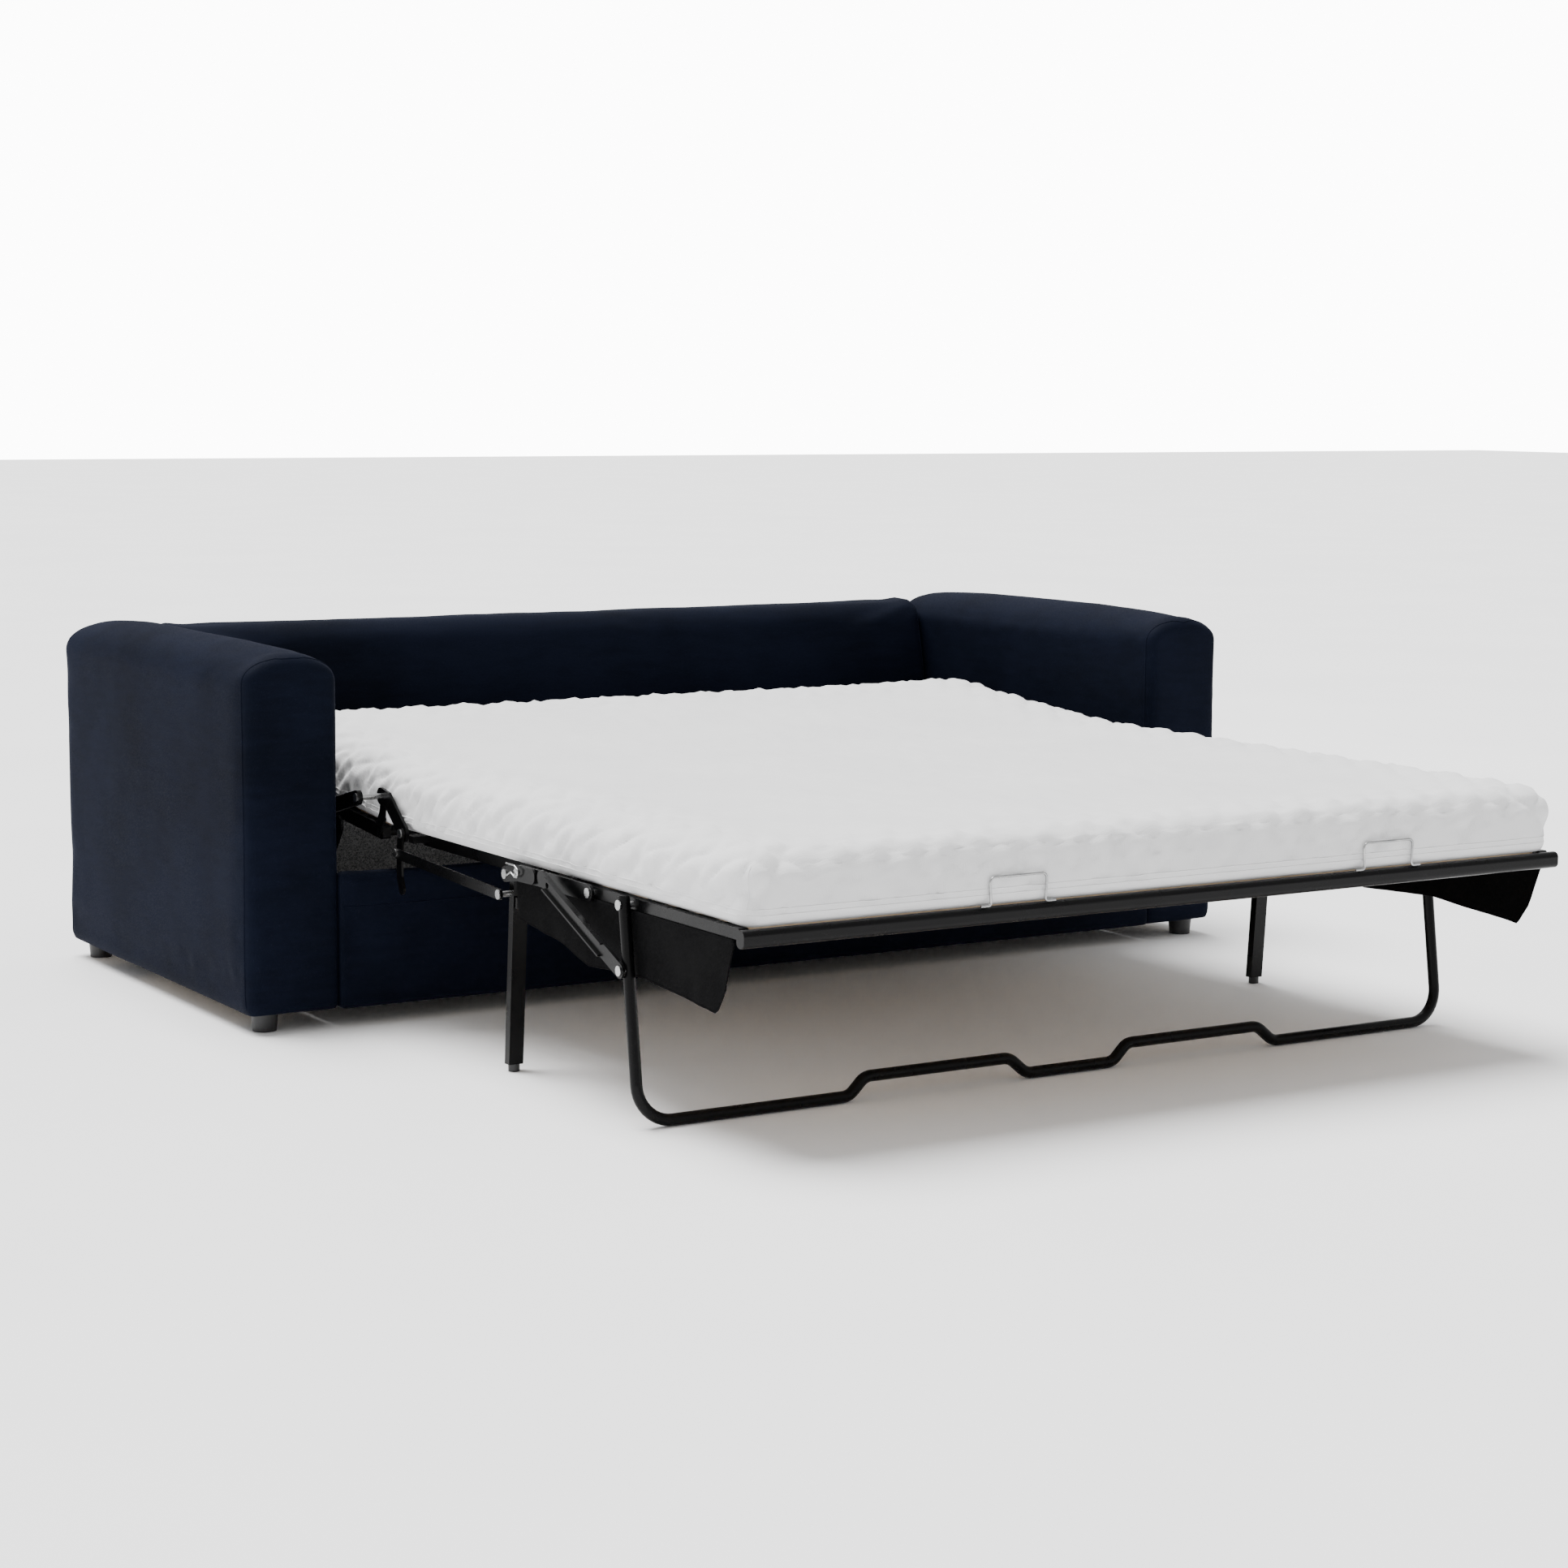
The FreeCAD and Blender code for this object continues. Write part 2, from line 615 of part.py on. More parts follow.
def foot_leg():
    """U-shaped tube: two uprights and a floor run with two raised bows."""
    lean = math.atan2(U_PIVOT[0] - U_FLOOR[0], U_PIVOT[1] - U_FLOOR[1])
    length = math.hypot(U_PIVOT[0] - U_FLOOR[0], U_PIVOT[1] - U_FLOOR[1])
    above = 13
    half = D["leg_tube_spacing"]
    floor = -length - above
    bow_low, bow_high, rise = (88, 432), (120, 400), 28
    right = [(bow_low[0], floor), (bow_high[0], floor + rise), (bow_high[1], floor + rise),
             (bow_low[1], floor), (half, floor), (half, 0)]
    left = [(-x, z) for x, z in reversed(right)]
    edges = rounded_path(left + right, [58, 30, 30, 30, 30, 30, 30, 30, 30, 58])
    body = doc.addObject("PartDesign::Body", "leg_tube")
    path = sketch_on(body, "XZ_Plane", edges, "leg_path")
    rings = [Part.Circle(FreeCAD.Vector(-half, 0, 0), FreeCAD.Vector(0, 0, 1), radius)
             for radius in (D["leg_tube_radius"], D["leg_tube_bore"])]
    profile = sketch_on(body, "XY_Plane", rings, "leg_section")
    pipe = body.newObject("PartDesign::AdditivePipe", "leg_pipe")
    pipe.Profile = profile
    pipe.Spine = path
    top = (U_PIVOT[0] + above * math.sin(lean), U_PIVOT[1] + above * math.cos(lean))
    body.Placement = FreeCAD.Placement(
        FreeCAD.Vector(0, 0, 0),
        FreeCAD.Rotation(FreeCAD.Vector(1, 0, 0), -math.degrees(lean)))
    place(body, "0", str(top[0]), str(top[1]))
    reach = D["leg_tube_spacing"] + 2 * D["leg_tube_radius"]
    bore = cross_rod("leg_bore", f"{cell('pin_radius')} + {cell('pin_clearance')}",
                     str(-reach), U_PIVOT, str(2 * reach))
    node(cut("foot_leg", body, bore), "foot_leg")


def drive_pins():
    inner = D["leg_tube_spacing"] + D["leg_tube_bore"] - 1
    outer = D["drive_inner"] + D["drive_thickness"] + D["pin_end_gap"]
    pins = [stub("drive_pin_" + name, side, DRIVE_PIN, inner, outer)
            for name, side in SIDES.items()]
    node(group("drive_pins", pins), "drive_pins")


def drive_link(side_name, side):
    along = math.atan2(DRIVE_OPEN_END[1] - DRIVE_PIN[1], DRIVE_OPEN_END[0] - DRIVE_PIN[0])
    way = (math.cos(along), math.sin(along))
    end = add(DRIVE_OPEN_END, (24 * way[0], 24 * way[1]))
    outline = bar_outline([DRIVE_PIN, end], 24) + [hole(DRIVE_PIN), hole(DRIVE_OPEN_END)]
    web = plate("drive_web_" + side_name, side, "drive_inner", "drive_thickness", outline)
    # lips that make the upper stretch a channel
    lips = []
    for index, offset in enumerate((-10.5, 10.5)):
        normal = (-way[1] * offset, way[0] * offset)
        low = add(add(DRIVE_PIN, (62 * way[0], 62 * way[1])), normal)
        high = add(add(DRIVE_OPEN_END, (6 * way[0], 6 * way[1])), normal)
        lip = padded_body(f"drive_lip_{index}_{side_name}", "YZ_Plane",
                          bar_outline([low, high], 3), "5")
        outer = D["drive_inner"] + D["drive_thickness"]
        place(lip, str(outer if side > 0 else -outer - 5))
        lips.append(lip)
    node(fuse("drive_link_" + side_name, [web] + lips), "drive_link_" + side_name)


def crank(side_name, side):
    pin_point = add(CRANK_PIVOT, CRANK_ARM)
    line = [CRANK_PIVOT, pin_point, (-80, 272), (-88, 252)]
    outline = bar_outline(line, 20) + [hole(CRANK_PIVOT), hole(pin_point)]
    node(plate("crank_" + side_name, side, "crank_inner", "crank_thickness", outline),
         "crank_" + side_name)


def leg_bar(side_name, side):
    ends = [add(CRANK_PIVOT, CRANK_ARM), add(LEG_PIVOT, CRANK_ARM)]
    outline = bar_outline(ends, 18) + [hole(p) for p in ends]
    node(plate("leg_bar_" + side_name, side, "bar_inner", "bar_thickness", outline),
         "leg_bar_" + side_name)


def middle_legs():
    foot_z = D["glide_height"]
    foot = (LEG_PIVOT[0] + (LEG_PIVOT[1] - foot_z) * math.tan(LEG_LEAN), foot_z)
    half = D["leg_depth"] / 2
    glides = []
    for side_name, side in SIDES.items():
        top = LEG_PIVOT
        left_top, right_top = add(top, (-half, 0)), add(top, (half, 0))
        outline = [Part.LineSegment(vec(left_top), vec(add(foot, (-half, 0)))),
                   Part.LineSegment(vec(add(foot, (-half, 0))), vec(add(foot, (half, 0)))),
                   Part.LineSegment(vec(add(foot, (half, 0))), vec(right_top)),
                   Part.Arc(vec(right_top), vec(add(top, (0, half))), vec(left_top)),
                   hole(top)]
        leg = plate("middle_leg_" + side_name, side, "leg_inner", "leg_width", outline)
        node(leg, "middle_leg_" + side_name)
        glide = doc.addObject("Part::Cylinder", "glide_" + side_name)
        glide.setExpression("Radius", cell("glide_radius"))
        glide.setExpression("Height", cell("glide_height"))
        place(glide, f"{side} * ({cell('leg_inner')} + {cell('leg_width')} / 2)", str(foot[0]))
        glides.append(glide)
    node(group("leg_glides", glides), "leg_glides")

    # the cross bar lies just in front of the legs and makes them swing together
    bar_y, bar_z = -497.3, 284
    half_span = D["leg_inner"] + D["leg_width"] - 2
    bar = box("leg_bar_core", str(-half_span), str(bar_y), str(bar_z - 9), str(2 * half_span),
              "8", "18")
    node(bar, "leg_cross_bar")
    outer = D["bar_inner"] + D["bar_thickness"] + D["pin_end_gap"]
    inner = D["leg_inner"] + D["leg_width"]
    pins = [stub("leg_pin_" + name, side, add(LEG_PIVOT, CRANK_ARM), inner, outer)
            for name, side in SIDES.items()]
    node(group("leg_pins", pins), "leg_pins")


def bar_pins():
    inner = D["crank_inner"]
    outer = D["bar_inner"] + D["bar_thickness"] + D["pin_end_gap"]
    pins = [stub("bar_pin_" + name, side, add(CRANK_PIVOT, CRANK_ARM), inner, outer)
            for name, side in SIDES.items()]
    node(group("bar_pins", pins), "bar_pins")


for side_name, side in SIDES.items():
    arm(side_name, side)
    mount_plate(side_name, side)
    lift_arm(side_name, side)
    hinge_plate(side_name, side)
    clip_plate(side_name, side)
    fold_link(side_name, side)
    side_flap(side_name, side)
    drive_link(side_name, side)
    crank(side_name, side)
    leg_bar(side_name, side)
backrest()
front_panel()
sofa_feet()
lift_pins()
middle_section()
frame_pins()
node(group("r_clips", [r_clip(name, side) for name, side in SIDES.items()]), "r_clips")
head_faces = head_section()
mattress(*head_faces)
foot_section()
bows = [wire_bow("retainer_left", -318), wire_bow("retainer_right", 420)]
node(group("mattress_retainers", bows), "mattress_retainers")
foot_leg()
drive_pins()
middle_legs()
bar_pins()

doc.recompute()

problems = [f"{o.Label}: {o.State}" for o in doc.Objects
            if "Invalid" in o.State or "Error" in o.State]
problems += [f"{o.Label}: bad shape" for o in nodes
             if o.Shape.isNull() or not o.Shape.isValid() or not o.Shape.Solids]
if problems:
    raise SystemExit("\n".join(problems))

os.makedirs("parts", exist_ok=True)
for piece in nodes:
    piece.Shape.exportStep(f"parts/{piece.Label}.step")
print(len(nodes), "nodes written")
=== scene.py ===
import math

import bmesh
import bpy
import numpy as np
from mathutils import Matrix, Vector, noise


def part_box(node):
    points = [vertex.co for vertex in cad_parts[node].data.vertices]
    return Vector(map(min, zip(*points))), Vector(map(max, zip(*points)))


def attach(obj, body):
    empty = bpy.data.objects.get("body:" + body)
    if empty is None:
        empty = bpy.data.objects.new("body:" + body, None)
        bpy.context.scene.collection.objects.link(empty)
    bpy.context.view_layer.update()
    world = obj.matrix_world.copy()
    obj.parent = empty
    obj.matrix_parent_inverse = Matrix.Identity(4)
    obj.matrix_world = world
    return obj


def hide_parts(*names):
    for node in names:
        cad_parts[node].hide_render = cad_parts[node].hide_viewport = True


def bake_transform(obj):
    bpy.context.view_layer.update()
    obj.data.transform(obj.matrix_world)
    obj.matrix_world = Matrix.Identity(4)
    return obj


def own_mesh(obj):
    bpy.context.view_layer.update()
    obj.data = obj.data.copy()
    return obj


# Looks of the opened pull-out sofa bed: velvet upholstery, quilted mattress, black frame.
# Metres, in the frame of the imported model: +X across the sofa, +Y to its back, z = 0 the floor.

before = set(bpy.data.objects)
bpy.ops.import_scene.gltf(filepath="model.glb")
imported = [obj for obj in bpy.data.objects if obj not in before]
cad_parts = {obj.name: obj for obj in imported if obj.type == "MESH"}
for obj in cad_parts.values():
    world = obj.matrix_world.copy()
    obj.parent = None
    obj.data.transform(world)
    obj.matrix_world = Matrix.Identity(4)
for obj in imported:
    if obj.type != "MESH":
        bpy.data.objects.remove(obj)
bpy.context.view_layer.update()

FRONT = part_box("arm_cover_left")[0][1]      # y of the front face of the arms
SIDES = {"left": -1, "right": 1}


def corners(*names):
    """Lowest and highest corner of some CAD nodes together, as arrays."""
    boxes = [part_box(name) for name in names]
    low = np.min([np.array(b[0]) for b in boxes], axis=0)
    high = np.max([np.array(b[1]) for b in boxes], axis=0)
    return low, high


def smooth(value, low, high):
    """0 below low, 1 above high, with a smooth ramp between."""
    share = np.clip((value - low) / (high - low), 0, 1)
    return share * share * (3 - 2 * share)


def cloud(points, scale, seed):
    """Smooth noise from -1 to 1 at each point."""
    shift = Vector((seed * 3.7, seed * 1.3, seed * 7.9))
    return np.array([noise.noise(Vector(p) * scale + shift) for p in points])


# ---------------------------------------------------------------- materials

def new_material(name):
    material = bpy.data.materials.new(name)
    material.use_nodes = True
    tree = material.node_tree
    return material, tree, tree.nodes["Principled BSDF"]


def add(tree, kind, settings=None, inputs=None):
    """New shader node; an input given as a socket is linked, any other value is set."""
    node = tree.nodes.new(kind)
    for key, value in (settings or {}).items():
        setattr(node, key, value)
    for key, value in (inputs or {}).items():
        if isinstance(value, bpy.types.NodeSocket):
            tree.links.new(value, node.inputs[key])
        else:
            node.inputs[key].default_value = value
    return node


def place(tree, stretch=(1, 1, 1)):
    """Object coordinates, stretched along each axis."""
    source = add(tree, "ShaderNodeTexCoord")
    mapping = add(tree, "ShaderNodeMapping", None,
                  {"Vector": source.outputs["Object"], "Scale": stretch})
    return mapping.outputs["Vector"]


def grain(tree, where, scale, detail=3, rough=0.5):
    node = add(tree, "ShaderNodeTexNoise", None,
               {"Vector": where, "Scale": scale, "Detail": detail, "Roughness": rough})
    return node.outputs["Fac"]


def ramp(tree, value, stops):
    """Colour ramp through (position, (r, g, b)) stops."""
    node = add(tree, "ShaderNodeValToRGB", None, {"Fac": value})
    points = node.color_ramp.elements
    while len(points) < len(stops):
        points.new(0.5)
    for point, (position, colour) in zip(points, stops):
        point.position = position
        point.color = (*colour, 1)
    return node.outputs["Color"]


def between(tree, value, low, high):
    """Value from 0.3 to 0.7 mapped to low to high."""
    node = add(tree, "ShaderNodeMapRange", None,
               {"Value": value, "From Min": 0.3, "From Max": 0.7, "To Min": low, "To Max": high})
    return node.outputs["Result"]


def wave_scale(period):
    """Scale at which Blender's wave texture repeats once each period metres."""
    return 2 * math.pi / (20 * period)


def bands(tree, where, direction, period):
    """Fine parallel threads, one each period metres."""
    node = add(tree, "ShaderNodeTexWave", {"bands_direction": direction},
               {"Vector": where, "Scale": wave_scale(period), "Distortion": 0.6, "Detail": 1})
    return node.outputs["Fac"]


def math_node(tree, operation, *values):
    node = add(tree, "ShaderNodeMath", {"operation": operation}, dict(enumerate(values)))
    return node.outputs[0]


def bump(tree, shader, heights):
    """Chain of bumps, each (height socket, strength, depth in metres)."""
    normal = None
    for height, strength, depth in heights:
        inputs = {"Height": height, "Strength": strength, "Distance": depth}
        if normal:
            inputs["Normal"] = normal
        normal = add(tree, "ShaderNodeBump", None, inputs).outputs["Normal"]
    tree.links.new(normal, shader.inputs["Normal"])


def finish_material(tree, shader, colour, roughness, constants):
    tree.links.new(colour, shader.inputs["Base Color"])
    tree.links.new(roughness, shader.inputs["Roughness"])
    for key, value in constants.items():
        shader.inputs[key].default_value = value


def velvet():
    """Short navy pile that catches light at grazing angles, with brushed patches."""
    material, tree, shader = new_material("velvet_navy_pile")
    where = place(tree)
    nap = grain(tree, where, 3.5, 4, 0.55)
    pile = grain(tree, where, 700, 2)
    streak = grain(tree, place(tree, (1, 1, 5)), 14, 3)
    mixed = math_node(tree, "MULTIPLY_ADD", streak, 0.35, nap)
    colour = ramp(tree, mixed, [(0.45, (0.0019, 0.0029, 0.0066)), (0.80, (0.0040, 0.0058, 0.0135))])
    finish_material(tree, shader, colour, between(tree, pile, 0.62, 0.92), {
        "Sheen Weight": 0.03, "Sheen Roughness": 0.28, "Sheen Tint": (0.30, 0.38, 0.80, 1),
        "Specular IOR Level": 0.04})
    bump(tree, shader, [(nap, 0.25, 0.006), (pile, 0.35, 0.0007)])
    return material


def mattress_cloth():
    """White knitted ticking with a fine raised weave."""
    material, tree, shader = new_material("ticking_white_knit")
    where = place(tree)
    across = bands(tree, where, "X", 0.0026)
    along = bands(tree, where, "Y", 0.0032)
    knit = math_node(tree, "MULTIPLY", across, along)
    soft = grain(tree, where, 6, 3)
    fuzz = grain(tree, where, 420, 3)
    colour = ramp(tree, soft, [(0.3, (0.72, 0.72, 0.725)), (0.7, (0.76, 0.76, 0.76))])
    finish_material(tree, shader, colour, between(tree, fuzz, 0.80, 0.95), {
        "Sheen Weight": 0.15, "Sheen Roughness": 0.6, "Specular IOR Level": 0.2})
    bump(tree, shader, [(knit, 0.30, 0.0008), (fuzz, 0.25, 0.0006)])
    return material


def woven_cloth(name, dark, light, thread, speckle):
    """Plain woven technical cloth with lighter flecks."""
    material, tree, shader = new_material(name)
    where = place(tree)
    warp = bands(tree, where, "Y", thread)
    weft = bands(tree, where, "Z", thread)
    weave = math_node(tree, "ADD", warp, weft)
    fleck = grain(tree, where, speckle, 4, 0.7)
    dust = grain(tree, where, 9, 3)
    colour = ramp(tree, fleck, [(0.38, dark), (0.70, light)])
    finish_material(tree, shader, colour, between(tree, dust, 0.62, 0.85), {
        "Sheen Weight": 0.005, "Sheen Roughness": 0.5, "Specular IOR Level": 0.03})
    bump(tree, shader, [(weave, 0.35, 0.0006), (dust, 0.3, 0.004)])
    return material


def black_paint():
    """Glossy powder coat with orange peel, faint dust and worn flecks."""
    material, tree, shader = new_material("paint_black_gloss")
    where = place(tree)
    peel = grain(tree, where, 260, 2)
    cloudy = grain(tree, where, 8, 4, 0.6)
    wear = grain(tree, place(tree, (0.4, 1, 1)), 95, 5, 0.8)
    colour = ramp(tree, wear, [(0.60, (0.0018, 0.0018, 0.0020)), (0.80, (0.0090, 0.0090, 0.0095))])
    finish_material(tree, shader, colour, between(tree, cloudy, 0.20, 0.36), {
        "Coat Weight": 0.05, "Coat Roughness": 0.10, "Specular IOR Level": 0.10})
    bump(tree, shader, [(peel, 0.12, 0.0006), (wear, 0.05, 0.0004)])
    return material


def bright_steel():
    """Zinc plated steel with fine brush marks."""
    material, tree, shader = new_material("steel_bright_zinc")
    brushed = grain(tree, place(tree, (1, 6, 6)), 160, 4, 0.7)
    patch = grain(tree, place(tree), 45, 3)
    colour = ramp(tree, patch, [(0.3, (0.30, 0.305, 0.31)), (0.7, (0.46, 0.46, 0.455))])
    finish_material(tree, shader, colour, between(tree, brushed, 0.18, 0.38),
                    {"Metallic": 1.0, "Specular IOR Level": 0.5})
    bump(tree, shader, [(brushed, 0.12, 0.0003)])
    return material


def moulded_plastic():
    """Black plastic with a fine spark-eroded texture."""
    material, tree, shader = new_material("plastic_black_moulded")
    where = place(tree)
    texture = grain(tree, where, 1400, 2)
    scuff = grain(tree, place(tree, (1, 1, 0.3)), 60, 5, 0.75)
    colour = ramp(tree, scuff, [(0.5, (0.010, 0.010, 0.011)), (0.8, (0.026, 0.026, 0.027))])
    finish_material(tree, shader, colour, between(tree, scuff, 0.36, 0.55),
                    {"Specular IOR Level": 0.5})
    bump(tree, shader, [(texture, 0.3, 0.0003), (scuff, 0.08, 0.0006)])
    return material


def wood(name, pale, brown, stretch, period):
    """Sawn wood: stretched fibres and growth lines."""
    material, tree, shader = new_material(name)
    fibre = grain(tree, place(tree, stretch), 70, 5, 0.65)
    where = place(tree, tuple(0.25 if s < 1 else 1 for s in stretch))
    lines = add(tree, "ShaderNodeTexWave", {"bands_direction": "Y"},
                {"Vector": where, "Scale": wave_scale(period), "Distortion": 6,
                 "Detail": 3, "Detail Scale": 1.5}).outputs["Fac"]
    mixed = math_node(tree, "MULTIPLY_ADD", lines, 0.35, fibre)
    colour = ramp(tree, mixed, [(0.35, brown), (0.95, pale)])
    finish_material(tree, shader, colour, between(tree, fibre, 0.45, 0.65),
                    {"Specular IOR Level": 0.35})
    bump(tree, shader, [(fibre, 0.2, 0.0006)])
    return material


def pale_floor():
    """Matt studio floor, nearly white and slightly uneven."""
    material, tree, shader = new_material("floor_pale")
    soft = grain(tree, place(tree), 1.3, 3)
    colour = ramp(tree, soft, [(0.3, (0.92, 0.92, 0.925)), (0.7, (0.95, 0.95, 0.95))])
    finish_material(tree, shader, colour, between(tree, soft, 0.75, 0.85),
                    {"Specular IOR Level": 0.15})
    return material


VELVET = velvet()
TICKING = mattress_cloth()
LINER = woven_cloth("liner_grey_speckled", (0.045, 0.045, 0.046), (0.300, 0.300, 0.302), 0.0022, 380)
BLACK_CLOTH = woven_cloth("cloth_black_woven", (0.0012, 0.0012, 0.0014), (0.0040, 0.0040, 0.0044),
                          0.0018, 240)
PAINT = black_paint()
STEEL = bright_steel()
PLASTIC = moulded_plastic()
SLAT_WOOD = wood("wood_beech_slat", (0.56, 0.43, 0.29), (0.36, 0.25, 0.15), (0.05, 1, 1), 0.018)
TIMBER = wood("wood_pine_board", (0.30, 0.25, 0.19), (0.18, 0.14, 0.10), (1, 1, 0.05), 0.03)


def paint_cad_nodes():
    """Each CAD node takes the finish of its group, or black paint when it is in none."""
    groups = {
        TIMBER: ("arm_frame_left", "arm_frame_right", "back_frame", "front_board"),
        LINER: ("well_liner",),
        PLASTIC: ("sofa_feet", "leg_glides"),
        SLAT_WOOD: ("middle_slats", "foot_slats", "head_slats"),
        STEEL: ("lift_pins", "frame_pins", "foot_pins", "drive_pins", "bar_pins", "leg_pins",
                "r_clips", "mattress_retainers"),
    }
    finish_of = {name: material for material, names in groups.items() for name in names}
    for name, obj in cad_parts.items():
        finish = finish_of.get(name, PAINT)
        if not obj.material_slots:
            obj.data.materials.append(finish)
        for slot in obj.material_slots:
            slot.material = finish


# ---------------------------------------------------------------- meshes

def steps(low, high, edge, fine, coarse):
    """Coordinates from low to high, fine near both ends and coarse between."""
    count = max(round(edge / fine), 1)
    middle = max(round((high - low - 2 * edge) / coarse), 1)
    return np.concatenate([
        np.linspace(low, low + edge, count, endpoint=False),
        np.linspace(low + edge, high - edge, middle, endpoint=False),
        np.linspace(high - edge, high, count + 1)])


def shell(xs, ys, zs):
    """Closed surface of a box as quads through the given coordinates."""
    index, points, faces = {}, [], []

    def at(i, j, k):
        if (i, j, k) not in index:
            index[i, j, k] = len(points)
            points.append((xs[i], ys[j], zs[k]))
        return index[i, j, k]

    nx, ny, nz = len(xs) - 1, len(ys) - 1, len(zs) - 1
    for i in range(nx):
        for j in range(ny):
            faces.append((at(i, j, 0), at(i, j + 1, 0), at(i + 1, j + 1, 0), at(i + 1, j, 0)))
            faces.append((at(i, j, nz), at(i + 1, j, nz), at(i + 1, j + 1, nz), at(i, j + 1, nz)))
    for i in range(nx):
        for k in range(nz):
            faces.append((at(i, 0, k), at(i + 1, 0, k), at(i + 1, 0, k + 1), at(i, 0, k + 1)))
            faces.append((at(i, ny, k), at(i, ny, k + 1), at(i + 1, ny, k + 1), at(i + 1, ny, k)))
    for j in range(ny):
        for k in range(nz):
            faces.append((at(0, j, k), at(0, j, k + 1), at(0, j + 1, k + 1), at(0, j + 1, k)))
            faces.append((at(nx, j, k), at(nx, j + 1, k), at(nx, j + 1, k + 1), at(nx, j, k + 1)))
    return np.array(points), faces


def rounded(points, low, high, radii_low, radii_high):
    """Moves points of a box surface onto the same box with elliptical edges."""
    core = np.clip(points, low + radii_low, high - radii_high)
    out = points - core
    radii = np.where(out < 0, radii_low, radii_high)
    unit = out / radii
    length = np.linalg.norm(unit, axis=1, keepdims=True)
    return core + radii * unit / np.maximum(length, 1e-9)


def mesh_object(name, points, faces, finish):
    mesh = bpy.data.meshes.new(name)
    mesh.from_pydata([tuple(p) for p in points], [], faces)
    mesh.polygons.foreach_set("use_smooth", [True] * len(mesh.polygons))
    mesh.materials.append(finish)
    obj = bpy.data.objects.new(name, mesh)
    bpy.context.scene.collection.objects.link(obj)
    return obj


def read(obj):
    flat = np.empty(len(obj.data.vertices) * 3, np.float32)
    obj.data.vertices.foreach_get("co", flat)
    return flat.reshape(-1, 3).astype(float)


def write(obj, points):
    obj.data.vertices.foreach_set("co", points.astype(np.float32).ravel())
    obj.data.update()


def normals(obj):
    flat = np.empty(len(obj.data.vertices) * 3, np.float32)
    obj.data.vertex_normals.foreach_get("vector", flat)
    return flat.reshape(-1, 3).astype(float)


def baked(obj):
    """Replaces the mesh by what its modifiers make of it."""
    graph = bpy.context.evaluated_depsgraph_get()
    mesh = bpy.data.meshes.new_from_object(obj.evaluated_get(graph))
    obj.modifiers.clear()
    obj.data = mesh
    mesh.polygons.foreach_set("use_smooth", [True] * len(mesh.polygons))
    return obj


def subdivide(obj):
    obj.modifiers.new("Subdivision", "SUBSURF").levels = 1
    return baked(obj)


SIM_FRAMES = 20
CLOTH = {"quality": 4, "mass": 0.3, "tension_stiffness": 15, "compression_stiffness": 15,
         "shear_stiffness": 5, "bending_stiffness": 0.4, "use_pressure": True}


def puff(obj, held, cap, pressure, slack):
    """Swells obj as cloth under inner pressure.

    held is 1 where the cover is fixed and 0 where it is free, cap is the longest move in metres,
    and slack is the share by which the cover is larger than its flat shape.
    """
    scene = bpy.context.scene
    rest = read(obj)
    group = obj.vertex_groups.new(name="held")
    for index in np.nonzero(held > 0.01)[0]:
        group.add([int(index)], float(held[index]), "REPLACE")
    cloth = obj.modifiers.new("Cloth", "CLOTH")
    settings = cloth.settings
    for key, value in CLOTH.items():
        setattr(settings, key, value)
    settings.shrink_min = -slack
    settings.uniform_pressure_force = pressure
    settings.vertex_group_mass = "held"
    settings.effector_weights.gravity = 0
    cloth.collision_settings.use_collision = False
    cloth.point_cache.frame_start = 1
    cloth.point_cache.frame_end = SIM_FRAMES
    for number in range(1, SIM_FRAMES + 1):
        scene.frame_set(number)
    graph = bpy.context.evaluated_depsgraph_get()
    swollen = obj.evaluated_get(graph)
    flat = np.empty(len(rest) * 3, np.float32)
    swollen.data.vertices.foreach_get("co", flat)
    obj.modifiers.clear()
    obj.vertex_groups.clear()
    scene.frame_set(1)
    move = flat.reshape(-1, 3).astype(float) - rest
    length = np.linalg.norm(move, axis=1, keepdims=True)
    write(obj, rest + move * (np.tanh(length / cap) * cap / np.maximum(length, 1e-9)))


def tube(name, path, radius, finish, closed=False, sides=8):
    """Round bead along a path of points."""
    path = np.array(path, float)
    count = len(path)
    ahead = np.roll(path, -1, axis=0)
    behind = np.roll(path, 1, axis=0)
    if not closed:
        ahead[-1], behind[0] = path[-1], path[0]
    along = ahead - behind
    along /= np.maximum(np.linalg.norm(along, axis=1, keepdims=True), 1e-9)
    helper = np.where(np.abs(along[:, 2:3]) < 0.8, [[0.0, 0.0, 1.0]], [[1.0, 0.0, 0.0]])
    first = np.cross(along, helper)
    first /= np.linalg.norm(first, axis=1, keepdims=True)
    for i in range(1, count):
        first[i] = first[i - 1] - along[i] * (first[i - 1] @ along[i])
        first[i] /= np.linalg.norm(first[i])
    second = np.cross(along, first)
    turns = np.linspace(0, 2 * math.pi, sides, endpoint=False)
    points = [path[i] + radius * (math.cos(a) * first[i] + math.sin(a) * second[i])
              for i in range(count) for a in turns]
    faces = []
    for i in range(count if closed else count - 1):
        j = (i + 1) % count
        for a in range(sides):
            b = (a + 1) % sides
            faces.append((i * sides + a, i * sides + b, j * sides + b, j * sides + a))
    if not closed:
        faces.append(tuple(reversed(range(sides))))
        faces.append(tuple((count - 1) * sides + a for a in range(sides)))
    obj = mesh_object(name, points, faces, finish)
    obj.data.update()
    return obj


def grid_faces(rows, columns):
    """Quads of a sheet whose points run along each row in turn."""
    corner = [row * columns + column for row in range(rows - 1) for column in range(columns - 1)]
    return [(a, a + 1, a + columns + 1, a + columns) for a in corner]


